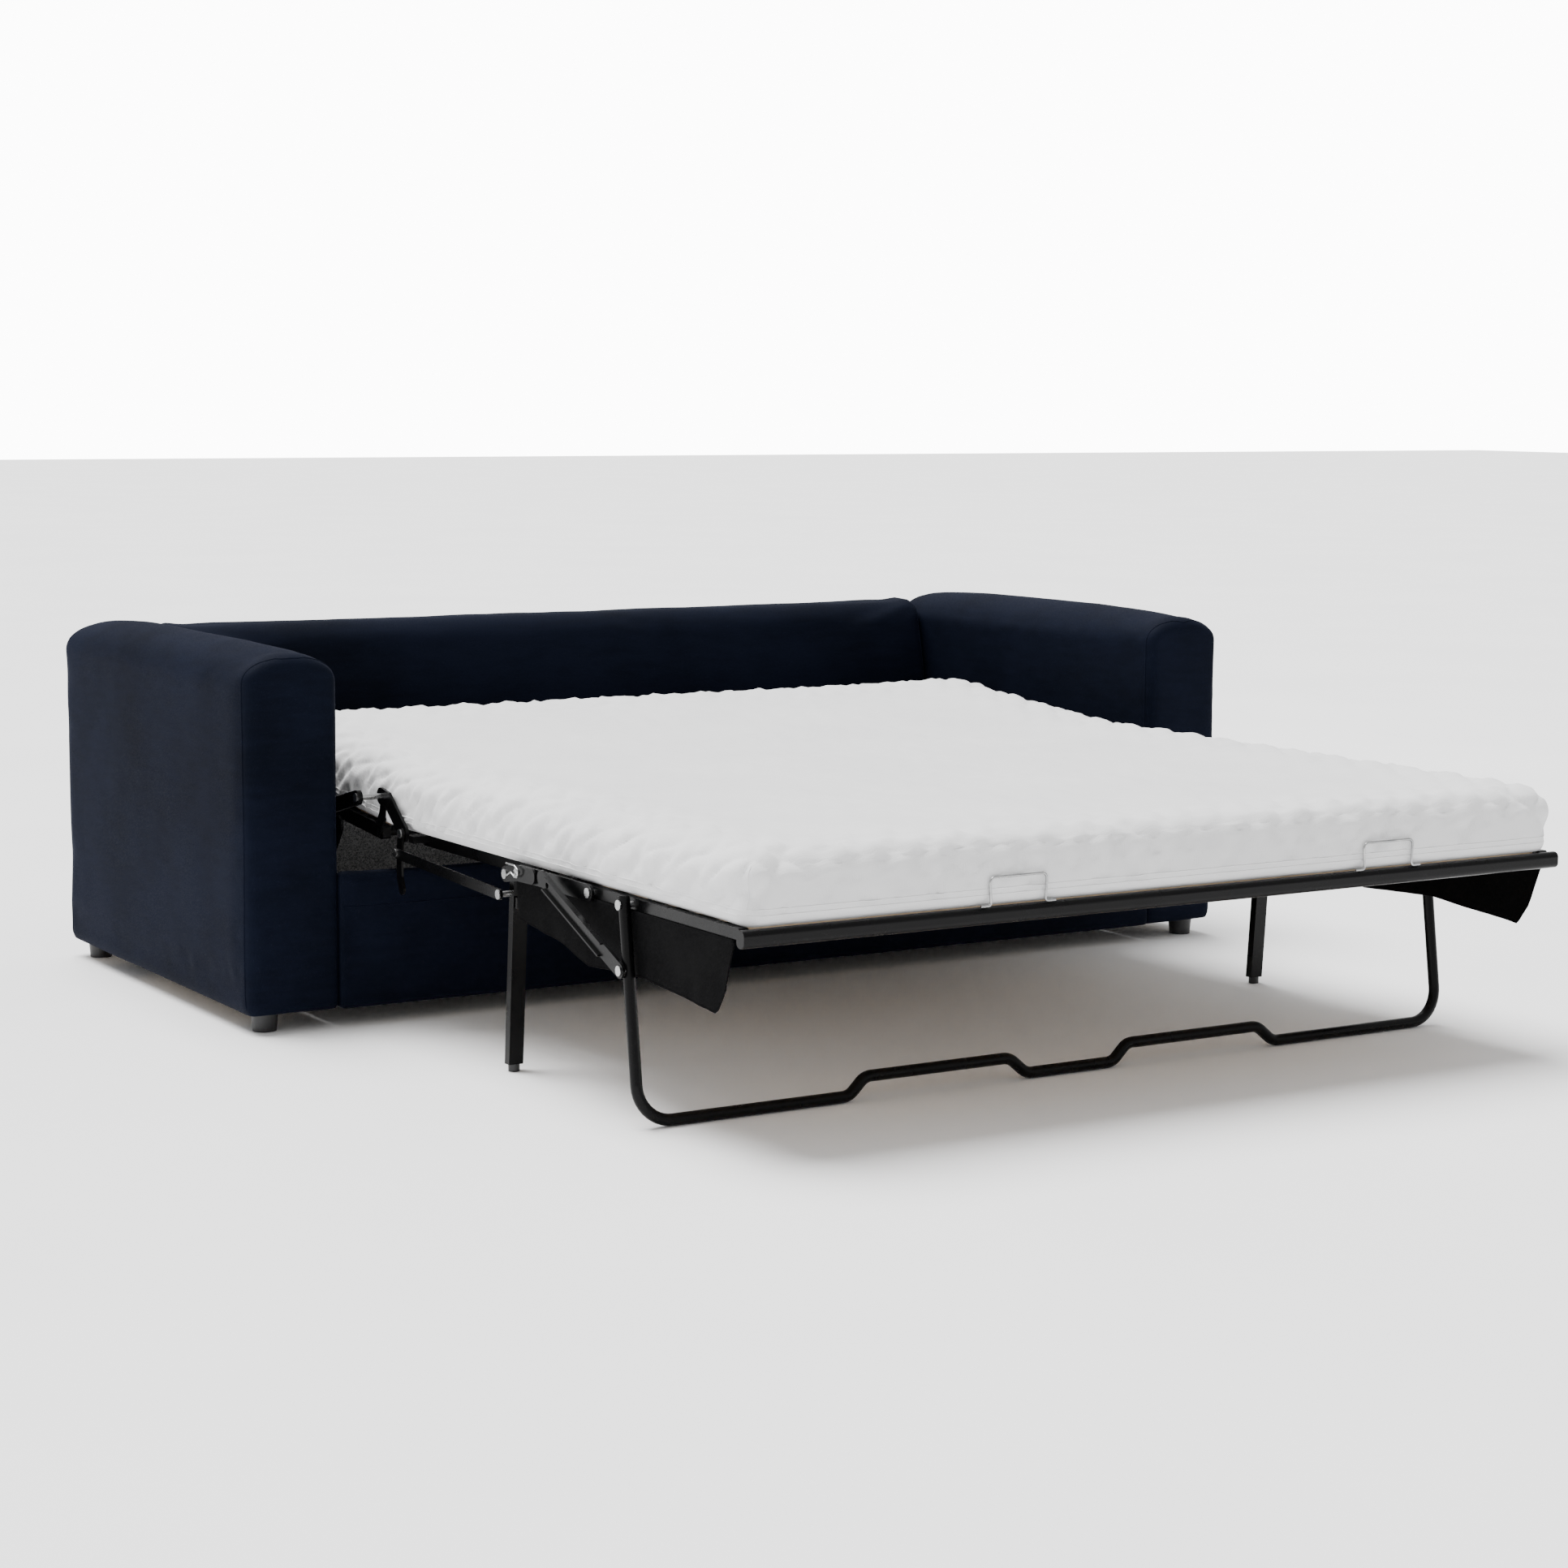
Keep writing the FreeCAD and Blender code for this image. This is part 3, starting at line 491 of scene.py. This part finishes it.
def thicken(obj, thickness, offset):
    solid = obj.modifiers.new("Thickness", "SOLIDIFY")
    solid.thickness = thickness
    solid.offset = offset
    baked(obj)


def joined(base, others):
    bpy.ops.object.select_all(action="DESELECT")
    for obj in [base] + others:
        obj.select_set(True)
    bpy.context.view_layer.objects.active = base
    bpy.ops.object.join()
    return base


def on_surface(obj, points, sink):
    """Points moved to the nearest place on obj, sunk below its surface."""
    result = []
    for point in points:
        found, location, normal, _ = obj.closest_point_on_mesh(Vector(point))
        result.append(location - normal * sink if found else Vector(point))
    return np.array(result)


# ---------------------------------------------------------------- upholstery

SEAM_RADIUS = 0.0017
SEAM_SINK = 0.0004          # how far a seam's bead sits below the cover
PADDING_PRESSURE = 3.0
COVER_SLACK = 0.01
ARM_CROWN = 0.046           # rise of the arm's top from its edges to its middle
ARM_SHOULDER = 0.030        # from the CAD arm's top down to where the crown starts
ARM_SEAM_INSET = 0.020      # seam of the arm's front and rear panel, from the end of the arm
BACK_LEAN = 0.034
RAIL_RISE = 0.013           # padding of the front rail above its CAD panel
RAIL_FRONT, RAIL_REAR = 0.003, 0.004        # and before and behind it
RAIL_SIDE = 0.005           # the rail's ends press into the arms
LINER_TOP = 0.430           # velvet starts again above this height
LINER_GAP = 0.0042          # from the front of the back to the liner


def rounded_loop(low, high, radius, step):
    """Points round a rectangle with round corners, in two axes."""
    arcs = []
    centres = [(high[0] - radius, high[1] - radius), (low[0] + radius, high[1] - radius),
               (low[0] + radius, low[1] + radius), (high[0] - radius, low[1] + radius)]
    for quarter, centre in enumerate(centres):
        for angle in np.linspace(quarter, quarter + 1, 9) * math.pi / 2:
            arcs.append((centre[0] + radius * math.cos(angle), centre[1] + radius * math.sin(angle)))
    loop = []
    for a, b in zip(arcs, arcs[1:] + arcs[:1]):
        pieces = max(round(math.dist(a, b) / step), 1)
        for i in range(pieces):
            loop.append((a[0] + (b[0] - a[0]) * i / pieces, a[1] + (b[1] - a[1]) * i / pieces))
    return loop


def upholstery(obj, node):
    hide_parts(node)
    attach(obj, "sofa")


def cross_seam(obj, name, half, y, z):
    """Bead across the sofa on the surface of obj, nearest to the line at y and z."""
    path = [(x, y, z) for x in np.linspace(-half, half, 90)]
    joined(obj, [tube(name, on_surface(obj, path, SEAM_SINK), SEAM_RADIUS, VELVET)])


def soft_pull(points, seed, depth):
    """Gentle hollows where the cover is drawn over the padding."""
    return depth * cloud(points, 4.0, seed) + 0.35 * depth * cloud(points, 13.0, seed + 1)


def make_arm(side_name, side):
    """Boxy arm with a crowned top, a front panel set in by a seam and soft vertical edges."""
    low, high = corners("arm_cover_" + side_name)
    high[2] -= ARM_SHOULDER
    edge_low = np.array([0.018, 0.026, 0.002])
    edge_high = np.array([0.018, 0.026, 0.018])
    inset = np.array([0.0008, 0.0008, 0.0])     # sides stand off their neighbours
    xs = steps(low[0], high[0], 0.036, 0.012, 0.020)
    ys = steps(low[1], high[1], 0.040, 0.012, 0.022)
    zs = steps(low[2], high[2], 0.040, 0.012, 0.022)
    points, faces = shell(xs, ys, zs)
    points = rounded(points, low, high, edge_low, edge_high)
    centre = (low + high) / 2
    half = (high - low) / 2
    unit = (points - centre) / half
    points += -np.sign(unit) * inset * np.abs(unit) ** 6
    across = 1 - np.abs(unit[:, 0]) ** 2.2
    along = 1 - 0.35 * np.abs(unit[:, 1]) ** 4
    lift = smooth(unit[:, 2], 0.55, 1.0)
    points[:, 2] += ARM_CROWN * across * along * lift
    obj = mesh_object("arm_upholstery_" + side_name, points, faces, VELVET)
    floor_hold = 1 - smooth(points[:, 2], low[2] + 0.01, low[2] + 0.12)
    seam_hold = 1 - smooth(np.abs(points[:, 1] - (low[1] + 0.022)), 0.004, 0.035)
    inner_hold = smooth(-side * unit[:, 0], 0.9, 1.0) * 0.6
    puff(obj, np.maximum.reduce([floor_hold, 0.85 * seam_hold, inner_hold]),
         cap=0.004, pressure=PADDING_PRESSURE, slack=COVER_SLACK)
    subdivide(obj)
    points = read(obj)
    points += normals(obj) * soft_pull(points, 3 + side, 0.0016)[:, None]
    write(obj, points)
    loop = rounded_loop((low[0] + 0.006, low[2] + 0.006), (high[0] - 0.006, high[2] + 0.012),
                        0.034, 0.012)
    seams = []
    for name, y in (("arm_seam", low[1] + ARM_SEAM_INSET),
                    ("arm_seam_back", high[1] - ARM_SEAM_INSET)):
        path = on_surface(obj, [(x, y, z) for x, z in loop], SEAM_SINK)
        seams.append(tube(name, path, SEAM_RADIUS, VELVET, closed=True))
    joined(obj, seams)
    upholstery(obj, "arm_cover_" + side_name)


def make_backrest():
    """Low straight back between the arms; its front leans back towards a rounded top."""
    low, high = corners("back_cover")
    radii_low = np.array([0.010, 0.050, 0.006])
    radii_high = np.array([0.010, 0.040, 0.046])
    clearance = 0.001                           # to the arms, at each end
    xs = steps(low[0], high[0], 0.03, 0.015, 0.030)
    ys = steps(low[1], high[1], 0.045, 0.012, 0.020)
    zs = steps(low[2], high[2], 0.050, 0.012, 0.024)
    points, faces = shell(xs, ys, zs)
    points = rounded(points, low, high, radii_low, radii_high)
    share = (high[1] - points[:, 1]) / (high[1] - low[1])
    lean = BACK_LEAN * smooth(points[:, 2], 0.46, 0.66)
    points[:, 1] += lean * share
    points[:, 0] *= 1 - clearance / high[0]
    obj = mesh_object("back_upholstery", points, faces, VELVET)
    low_hold = 1 - smooth(points[:, 2], 0.10, 0.42)
    rear_hold = smooth(points[:, 1], high[1] - 0.012, high[1]) * 0.8
    side_hold = smooth(np.abs(points[:, 0]), high[0] - 0.03, high[0] - 0.005)
    puff(obj, np.maximum.reduce([low_hold, rear_hold, side_hold]),
         cap=0.008, pressure=PADDING_PRESSURE, slack=COVER_SLACK)
    subdivide(obj)
    points = read(obj)
    free = smooth(points[:, 2], 0.30, 0.55) * (1 - smooth(np.abs(points[:, 0]), 0.80, 0.88))
    points += normals(obj) * (soft_pull(points, 9, 0.0022) * free)[:, None]
    write(obj, points)
    cross_seam(obj, "back_seam", high[0] - 0.004, high[1] + 0.01, high[2] - 0.052)
    upholstery(obj, "back_cover")


def make_front_rail():
    """Low padded rail across the front, with a soft rolled top edge."""
    low, high = corners("front_cover")
    low -= (RAIL_SIDE, RAIL_FRONT, 0)
    high += (RAIL_SIDE, RAIL_REAR, RAIL_RISE)
    radii = np.array([0.006, 0.013, 0.015])
    xs = steps(low[0], high[0], 0.02, 0.01, 0.028)
    ys = steps(low[1], high[1], 0.012, 0.004, 0.006)
    zs = steps(low[2], high[2], 0.020, 0.006, 0.018)
    points, faces = shell(xs, ys, zs)
    points = rounded(points, low, high, radii * [1, 0.5, 0.4], radii)
    obj = mesh_object("front_upholstery", points, faces, VELVET)
    low_hold = 1 - smooth(points[:, 2], 0.05, 0.20)
    side_hold = smooth(np.abs(points[:, 0]), high[0] - 0.03, high[0] - 0.005)
    rear_hold = smooth(points[:, 1], high[1] - 0.006, high[1])
    puff(obj, np.maximum.reduce([low_hold, rear_hold, side_hold]),
         cap=0.004, pressure=PADDING_PRESSURE, slack=COVER_SLACK)
    subdivide(obj)
    points = read(obj)
    free = smooth(points[:, 2], low[2] + 0.01, low[2] + 0.05)
    points += normals(obj) * (0.0012 * cloud(points, 5.0, 21) * free)[:, None]
    write(obj, points)
    cross_seam(obj, "front_seam", high[0] - 0.004, low[1] - 0.01, high[2] - 0.062)
    upholstery(obj, "front_cover")


def make_back_liner():
    """Speckled lining stretched over the lower front of the back, behind the bed."""
    low, high = corners("back_cover")
    width, bottom = 2 * high[0] - 0.02, low[2] + 0.006
    xs = np.linspace(-width / 2, width / 2, 60)
    zs = np.linspace(bottom, LINER_TOP, 22)
    points = []
    for z in zs:
        for x in xs:
            ripple = 0.0016 * noise.noise(Vector((x * 6, z * 9, 4.0)))
            points.append((x, low[1] - LINER_GAP + ripple, z))
    obj = mesh_object("back_liner", points, grid_faces(len(zs), len(xs)), LINER)
    thicken(obj, 0.0012, -1)
    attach(obj, "sofa")


# ---------------------------------------------------------------- mattress

TILT = math.radians(5)
BED_LOW, BED_HIGH = corners("mattress_foot", "mattress_fold", "mattress_middle")
FOLD_LOW, FOLD_HIGH = corners("mattress_fold")
BEND_LENGTH = 0.106         # stretch over which the mattress bends up to the tilted head
HEAD_LENGTH = 0.495
FLAT_LENGTH = BED_HIGH[1] - BED_LOW[1]
TOTAL_LENGTH = FLAT_LENGTH + BEND_LENGTH + HEAD_LENGTH
THICKNESS = BED_HIGH[2] - BED_LOW[2] + 0.0055
HALF_WIDTH = BED_HIGH[0]
DIAMOND = 0.062             # spacing of the quilting
DIAMOND_SLANT = 0.62
GATHER = 0.034              # spacing of the folds down the sides
STITCH_RADIUS = 0.0011
STITCH_HEIGHTS = (0.017, 0.026)
STITCH_SINK = 0.0002
FOOT_SAG = 0.0012           # the pad's underside comes down on the end rail
SEAT_CUT = FRONT - 0.20     # where the seat length ends and the head length starts


def lay_on_deck(points):
    """Turns (x, along, up) into the model's frame: flat first, then tilted at the head."""
    along = np.linspace(0, TOTAL_LENGTH, 800)
    angle = TILT * np.clip((along - FLAT_LENGTH) / BEND_LENGTH, 0, 1)
    step = along[1] - along[0]
    line_y = BED_LOW[1] + np.concatenate([[0], np.cumsum(np.cos(angle[1:]) * step)])
    line_z = BED_LOW[2] + np.concatenate([[0], np.cumsum(np.sin(angle[1:]) * step)])
    turn = np.interp(points[:, 1], along, angle)
    y = np.interp(points[:, 1], along, line_y) + np.minimum(points[:, 1], 0)
    z = np.interp(points[:, 1], along, line_z)
    return np.column_stack([points[:, 0], y - points[:, 2] * np.sin(turn),
                            z + points[:, 2] * np.cos(turn)])


def quilting(points):
    """Puckered diamonds of the quilted cover, from 0 at the stitches to 1."""
    warp = 0.010 * cloud(points, 11, 31)
    slanted = points[:, 1] * DIAMOND_SLANT + points[:, 2] * 0.8
    first = (points[:, 0] + slanted + warp) / DIAMOND
    second = (points[:, 0] - slanted + warp) / DIAMOND
    return np.sqrt(np.abs(np.sin(math.pi * first) * np.sin(math.pi * second)) + 0.02)


def side_gathers(points, side):
    """Slanted folds down the long sides, deepest beside the sofa's arms."""
    along, up = points[:, 1], points[:, 2]
    warp = 0.020 * cloud(points, 7, 41 + side) + 0.006 * cloud(points, 26, 43 + side)
    phase = (along + 0.75 * up + warp) / GATHER
    fold = (0.5 + 0.5 * np.sin(2 * math.pi * phase)) ** 1.6
    uneven = 0.55 + 0.45 * cloud(points, 9, 47 + side)
    strength = 0.0012 + 0.0050 * smooth(along, 0.55, 1.15) * (1 - 0.6 * smooth(along, 1.35, 1.7))
    height = smooth(up, 0.0, 0.02) * (1 - smooth(up, THICKNESS * 0.72, THICKNESS * 1.02))
    return strength * fold * uneven * height


def cover_relief(points):
    """Height of the quilting, puckers and side folds at each point of the mattress cover."""
    from_side = HALF_WIDTH - np.abs(points[:, 0])
    from_foot = points[:, 1]
    from_head = TOTAL_LENGTH - points[:, 1]
    border = 1 - smooth(np.minimum.reduce([from_side, from_foot, from_head]), 0.05, 0.22)
    above = smooth(points[:, 2], 0.012, 0.035)
    relief = (0.0012 + 0.0068 * border) * quilting(points) * above
    relief += above * border * (0.0044 * cloud(points, 20, 51) + 0.0030 * cloud(points, 48, 52))
    for side in SIDES.values():
        beside = smooth(side * points[:, 0], HALF_WIDTH - 0.055, HALF_WIDTH - 0.012)
        relief += side_gathers(points, side) * beside
    return relief - 0.0058 * above


def stitching(obj):
    """Two rows of stitches round the mattress and one up each corner of the foot."""
    beads = []
    loop = rounded_loop((-HALF_WIDTH, 0), (HALF_WIDTH, TOTAL_LENGTH), 0.04, 0.010)
    for height in STITCH_HEIGHTS:
        path = on_surface(obj, [(x, y, height) for x, y in loop], STITCH_SINK)
        beads.append(tube("mattress_stitch", path, STITCH_RADIUS, TICKING, closed=True, sides=6))
    for side in SIDES.values():
        x = side * (HALF_WIDTH - 0.009)
        line = [(x, 0.009, z) for z in np.linspace(0.027, THICKNESS - 0.012, 14)]
        path = on_surface(obj, line, STITCH_SINK)
        beads.append(tube("mattress_corner", path, STITCH_RADIUS, TICKING, sides=6))
    return joined(beads[0], beads[1:])


def make_mattress():
    """Quilted pad, made flat along +Y from its foot end, then laid on the deck and cut."""
    low = np.array([-HALF_WIDTH + 0.002, 0.0015, 0.0])
    high = np.array([HALF_WIDTH - 0.002, TOTAL_LENGTH, THICKNESS - 0.003])
    xs = steps(low[0], high[0], 0.10, 0.0125, 0.026)
    ys = steps(low[1], high[1], 0.12, 0.0125, 0.0145)
    zs = steps(low[2], high[2], 0.035, 0.0088, 0.012)
    points, faces = shell(xs, ys, zs)
    corner = (0.034, 0.038)                     # nearly sharp below, softly rounded above
    points = rounded(points, low, high, np.array([*corner, 0.0015]), np.array([*corner, 0.048]))
    obj = mesh_object("mattress", points, faces, TICKING)
    hold = 1 - smooth(points[:, 2], 0.004, 0.030)
    middle = 1 - smooth(np.abs(points[:, 0]), HALF_WIDTH - 0.20, HALF_WIDTH - 0.10)
    hold = np.maximum(hold, 0.5 * middle * smooth(points[:, 2], 0.06, 0.09))
    puff(obj, hold, cap=0.005, pressure=4.0, slack=0.02)
    subdivide(obj)
    points = read(obj)
    points += normals(obj) * cover_relief(points)[:, None]
    points[:, 0] = np.clip(points[:, 0], -HALF_WIDTH - 0.003, HALF_WIDTH + 0.003)
    points[:, 1] = np.maximum(points[:, 1], 0.0005)
    under = 1 - smooth(points[:, 2], 0.002, 0.010)
    near_foot = 1 - smooth(points[:, 1], 0.04, 0.08)
    points[:, 2] -= FOOT_SAG * under * near_foot
    write(obj, points)
    stitches = stitching(obj)
    for piece in (obj, stitches):
        write(piece, lay_on_deck(read(piece)))
    cut_mattress(obj, stitches)


def length_of(source, name, planes):
    """Copy of source kept between planes, each (y, keep the side above it), ends closed flat."""
    obj = source.copy()
    obj.data = source.data.copy()
    obj.name = name
    obj.data.name = name
    bpy.context.scene.collection.objects.link(obj)
    work = bmesh.new()
    work.from_mesh(obj.data)
    for y, keep_above in planes:
        everything = work.verts[:] + work.edges[:] + work.faces[:]
        bmesh.ops.bisect_plane(work, geom=everything, dist=1e-6, plane_co=(0, y, 0),
                               plane_no=(0, 1, 0), clear_inner=keep_above,
                               clear_outer=not keep_above)
        rim = [edge for edge in work.edges if len(edge.link_faces) == 1]
        bmesh.ops.triangle_fill(work, edges=rim, use_beauty=True, normal=(0, 1, 0))
        for edge in rim:
            edge.smooth = False
    bmesh.ops.recalc_face_normals(work, faces=work.faces[:])
    work.to_mesh(obj.data)
    work.free()
    return obj


def cut_mattress(whole, stitches):
    """Cuts the mattress and its stitches into three lengths and hides the CAD mattress nodes they
    replace.
    """
    fold_middle = (FOLD_LOW[1] + FOLD_HIGH[1]) / 2
    head_fold_low, head_fold_high = corners("mattress_head_fold")
    cuts = {"mattress_foot_length": [(fold_middle, False)],
            "mattress_seat_length": [(fold_middle, True), (SEAT_CUT, False)],
            "mattress_head_length": [(SEAT_CUT, True)]}
    foot, seat, head = [
        joined(length_of(whole, name, planes), [length_of(stitches, "stitches", planes)])
        for name, planes in cuts.items()]
    bpy.data.objects.remove(whole)
    bpy.data.objects.remove(stitches)
    plan = (
        (foot, ("mattress_foot",), "foot_section", "fold_links", FOLD_LOW[1], fold_middle),
        (seat, ("mattress_fold", "mattress_middle"), "fold_links", "middle_section",
         fold_middle, FOLD_HIGH[1]),
        (head, ("mattress_head_fold", "mattress_head"), "middle_section", "head_section",
         head_fold_low[1], head_fold_high[1]),
    )
    for obj, nodes, first, second, start, end in plan:
        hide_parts(*nodes)
        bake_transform(obj)


# ---------------------------------------------------------------- side flaps

# Lower edge of a flap from the foot end to the back: (y from the front face, z).
HEM = ((-1.190, 0.326), (-1.183, 0.311), (-1.161, 0.250), (-1.136, 0.214), (-0.930, 0.232),
       (-0.749, 0.223), (-0.668, 0.243), (-0.500, 0.262))
FLAP_BACK = {"left": FRONT - 0.502, "right": FRONT - 0.600}
FLAP_THICKNESS = 0.0014     # also the radius of the rolled hem


def hem_height(y):
    return np.interp(y - FRONT, *zip(*HEM))


def make_flap(side_name, side):
    """Black cloth flap that hangs from the foot rail, longest near the foot end."""
    low, high = corners("side_flap_" + side_name)
    top = high[2]
    middle = (low[0] + high[0]) / 2
    ys = np.linspace(low[1], FLAP_BACK[side_name], 96)
    shares = np.linspace(0, 1, 22)
    points = []
    for share in shares:
        for y in ys:
            z = top + (hem_height(y) - top) * share
            loose = smooth(share, 0.1, 1.0)
            wave = 0.0075 * noise.noise(Vector((y * 8, z * 5, side * 3.0)))
            wave += 0.0022 * noise.noise(Vector((y * 30, z * 16, side * 5.0)))
            points.append((middle + side * loose * min(wave - 0.002, 0.0012), y, z))
    obj = mesh_object("flap_cloth_" + side_name, points, grid_faces(len(shares), len(ys)),
                      BLACK_CLOTH)
    thicken(obj, FLAP_THICKNESS, 0)
    joined(obj, [tube("flap_hem", points[-len(ys):], FLAP_THICKNESS, BLACK_CLOTH, sides=6)])
    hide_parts("side_flap_" + side_name)
    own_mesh(obj)
    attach(obj, "foot_section")


# ---------------------------------------------------------------- studio

FLOOR_REACH = 40
FLOOR_DROP = 0.0005         # keeps the floor just under the feet
SUN_DIRECTION = (0.17, -0.34, -1)
SUN_POWER = 6.8
SUN_SPREAD = math.radians(42)
SURROUND_LIGHT = 0.80       # strength of the white surround as a light
SURROUND_SEEN = 12.0        # and as the camera sees it
CAMERA_PLACE = (-3.0831, -4.8923, 1.1183)
CAMERA_YAW, CAMERA_PITCH, CAMERA_ROLL = 0.5516, 0.1249, 0.0066
CAMERA_LENS, CAMERA_SENSOR = 72.7, 36       # millimetres


def area_light(name, place_at, look_at, size, power):
    data = bpy.data.lights.new(name, "AREA")
    data.shape = "RECTANGLE"
    data.size, data.size_y = size
    data.energy = power
    obj = bpy.data.objects.new(name, data)
    obj.location = place_at
    obj.rotation_euler = (Vector(look_at) - Vector(place_at)).to_track_quat("-Z", "Y").to_euler()
    bpy.context.scene.collection.objects.link(obj)


def studio():
    """White floor and surround, a broad overhead light and two weak side lights."""
    outline = [(FLOOR_REACH * x, FLOOR_REACH * y, 0) for x, y in ((-1, -1), (1, -1), (1, 1), (-1, 1))]
    floor = mesh_object("floor", outline, [(0, 1, 2, 3)], pale_floor())
    floor.location.z = -FLOOR_DROP
    backdrop()
    sun = bpy.data.lights.new("overhead_light", "SUN")
    sun.energy = SUN_POWER
    sun.angle = SUN_SPREAD
    lamp = bpy.data.objects.new("overhead_light", sun)
    lamp.rotation_euler = Vector(SUN_DIRECTION).to_track_quat("-Z", "Y").to_euler()
    bpy.context.scene.collection.objects.link(lamp)
    area_light("fill_light", (-4.5, -4.5, 3.2), (0, -0.3, 0.4), (3.5, 3.0), 10)
    area_light("rim_light", (3.8, 3.4, 3.0), (0, 0.4, 0.5), (3.0, 2.0), 15)


def backdrop():
    """Even white surround: bright behind the object, softer as a light."""
    world = bpy.data.worlds.new("Studio")
    world.use_nodes = True
    tree = world.node_tree
    soft = tree.nodes["Background"]
    soft.inputs["Color"].default_value = (1.0, 1.0, 1.0, 1)
    soft.inputs["Strength"].default_value = SURROUND_LIGHT
    bright = add(tree, "ShaderNodeBackground", None,
                 {"Color": (1, 1, 1, 1), "Strength": SURROUND_SEEN})
    seen = add(tree, "ShaderNodeLightPath")
    mixed = add(tree, "ShaderNodeMixShader", None, {
        0: seen.outputs["Is Camera Ray"], 1: soft.outputs[0], 2: bright.outputs[0]})
    tree.links.new(mixed.outputs[0], tree.nodes["World Output"].inputs["Surface"])
    bpy.context.scene.world = world


def camera():
    """View of the photograph, solved from the straight edges of the sofa and the mattress."""
    data = bpy.data.cameras.new("camera")
    data.lens = CAMERA_LENS
    data.sensor_width = CAMERA_SENSOR
    obj = bpy.data.objects.new("camera", data)
    turn = (Matrix.Rotation(-CAMERA_YAW, 4, "Z")
            @ Matrix.Rotation(math.pi / 2 - CAMERA_PITCH, 4, "X")
            @ Matrix.Rotation(CAMERA_ROLL, 4, "Z"))
    obj.matrix_world = Matrix.Translation(CAMERA_PLACE) @ turn
    bpy.context.scene.collection.objects.link(obj)
    bpy.context.scene.camera = obj


camera()
studio()
paint_cad_nodes()
for side_name, side in SIDES.items():
    make_arm(side_name, side)
    make_flap(side_name, side)
make_backrest()
make_front_rail()
make_back_liner()
make_mattress()
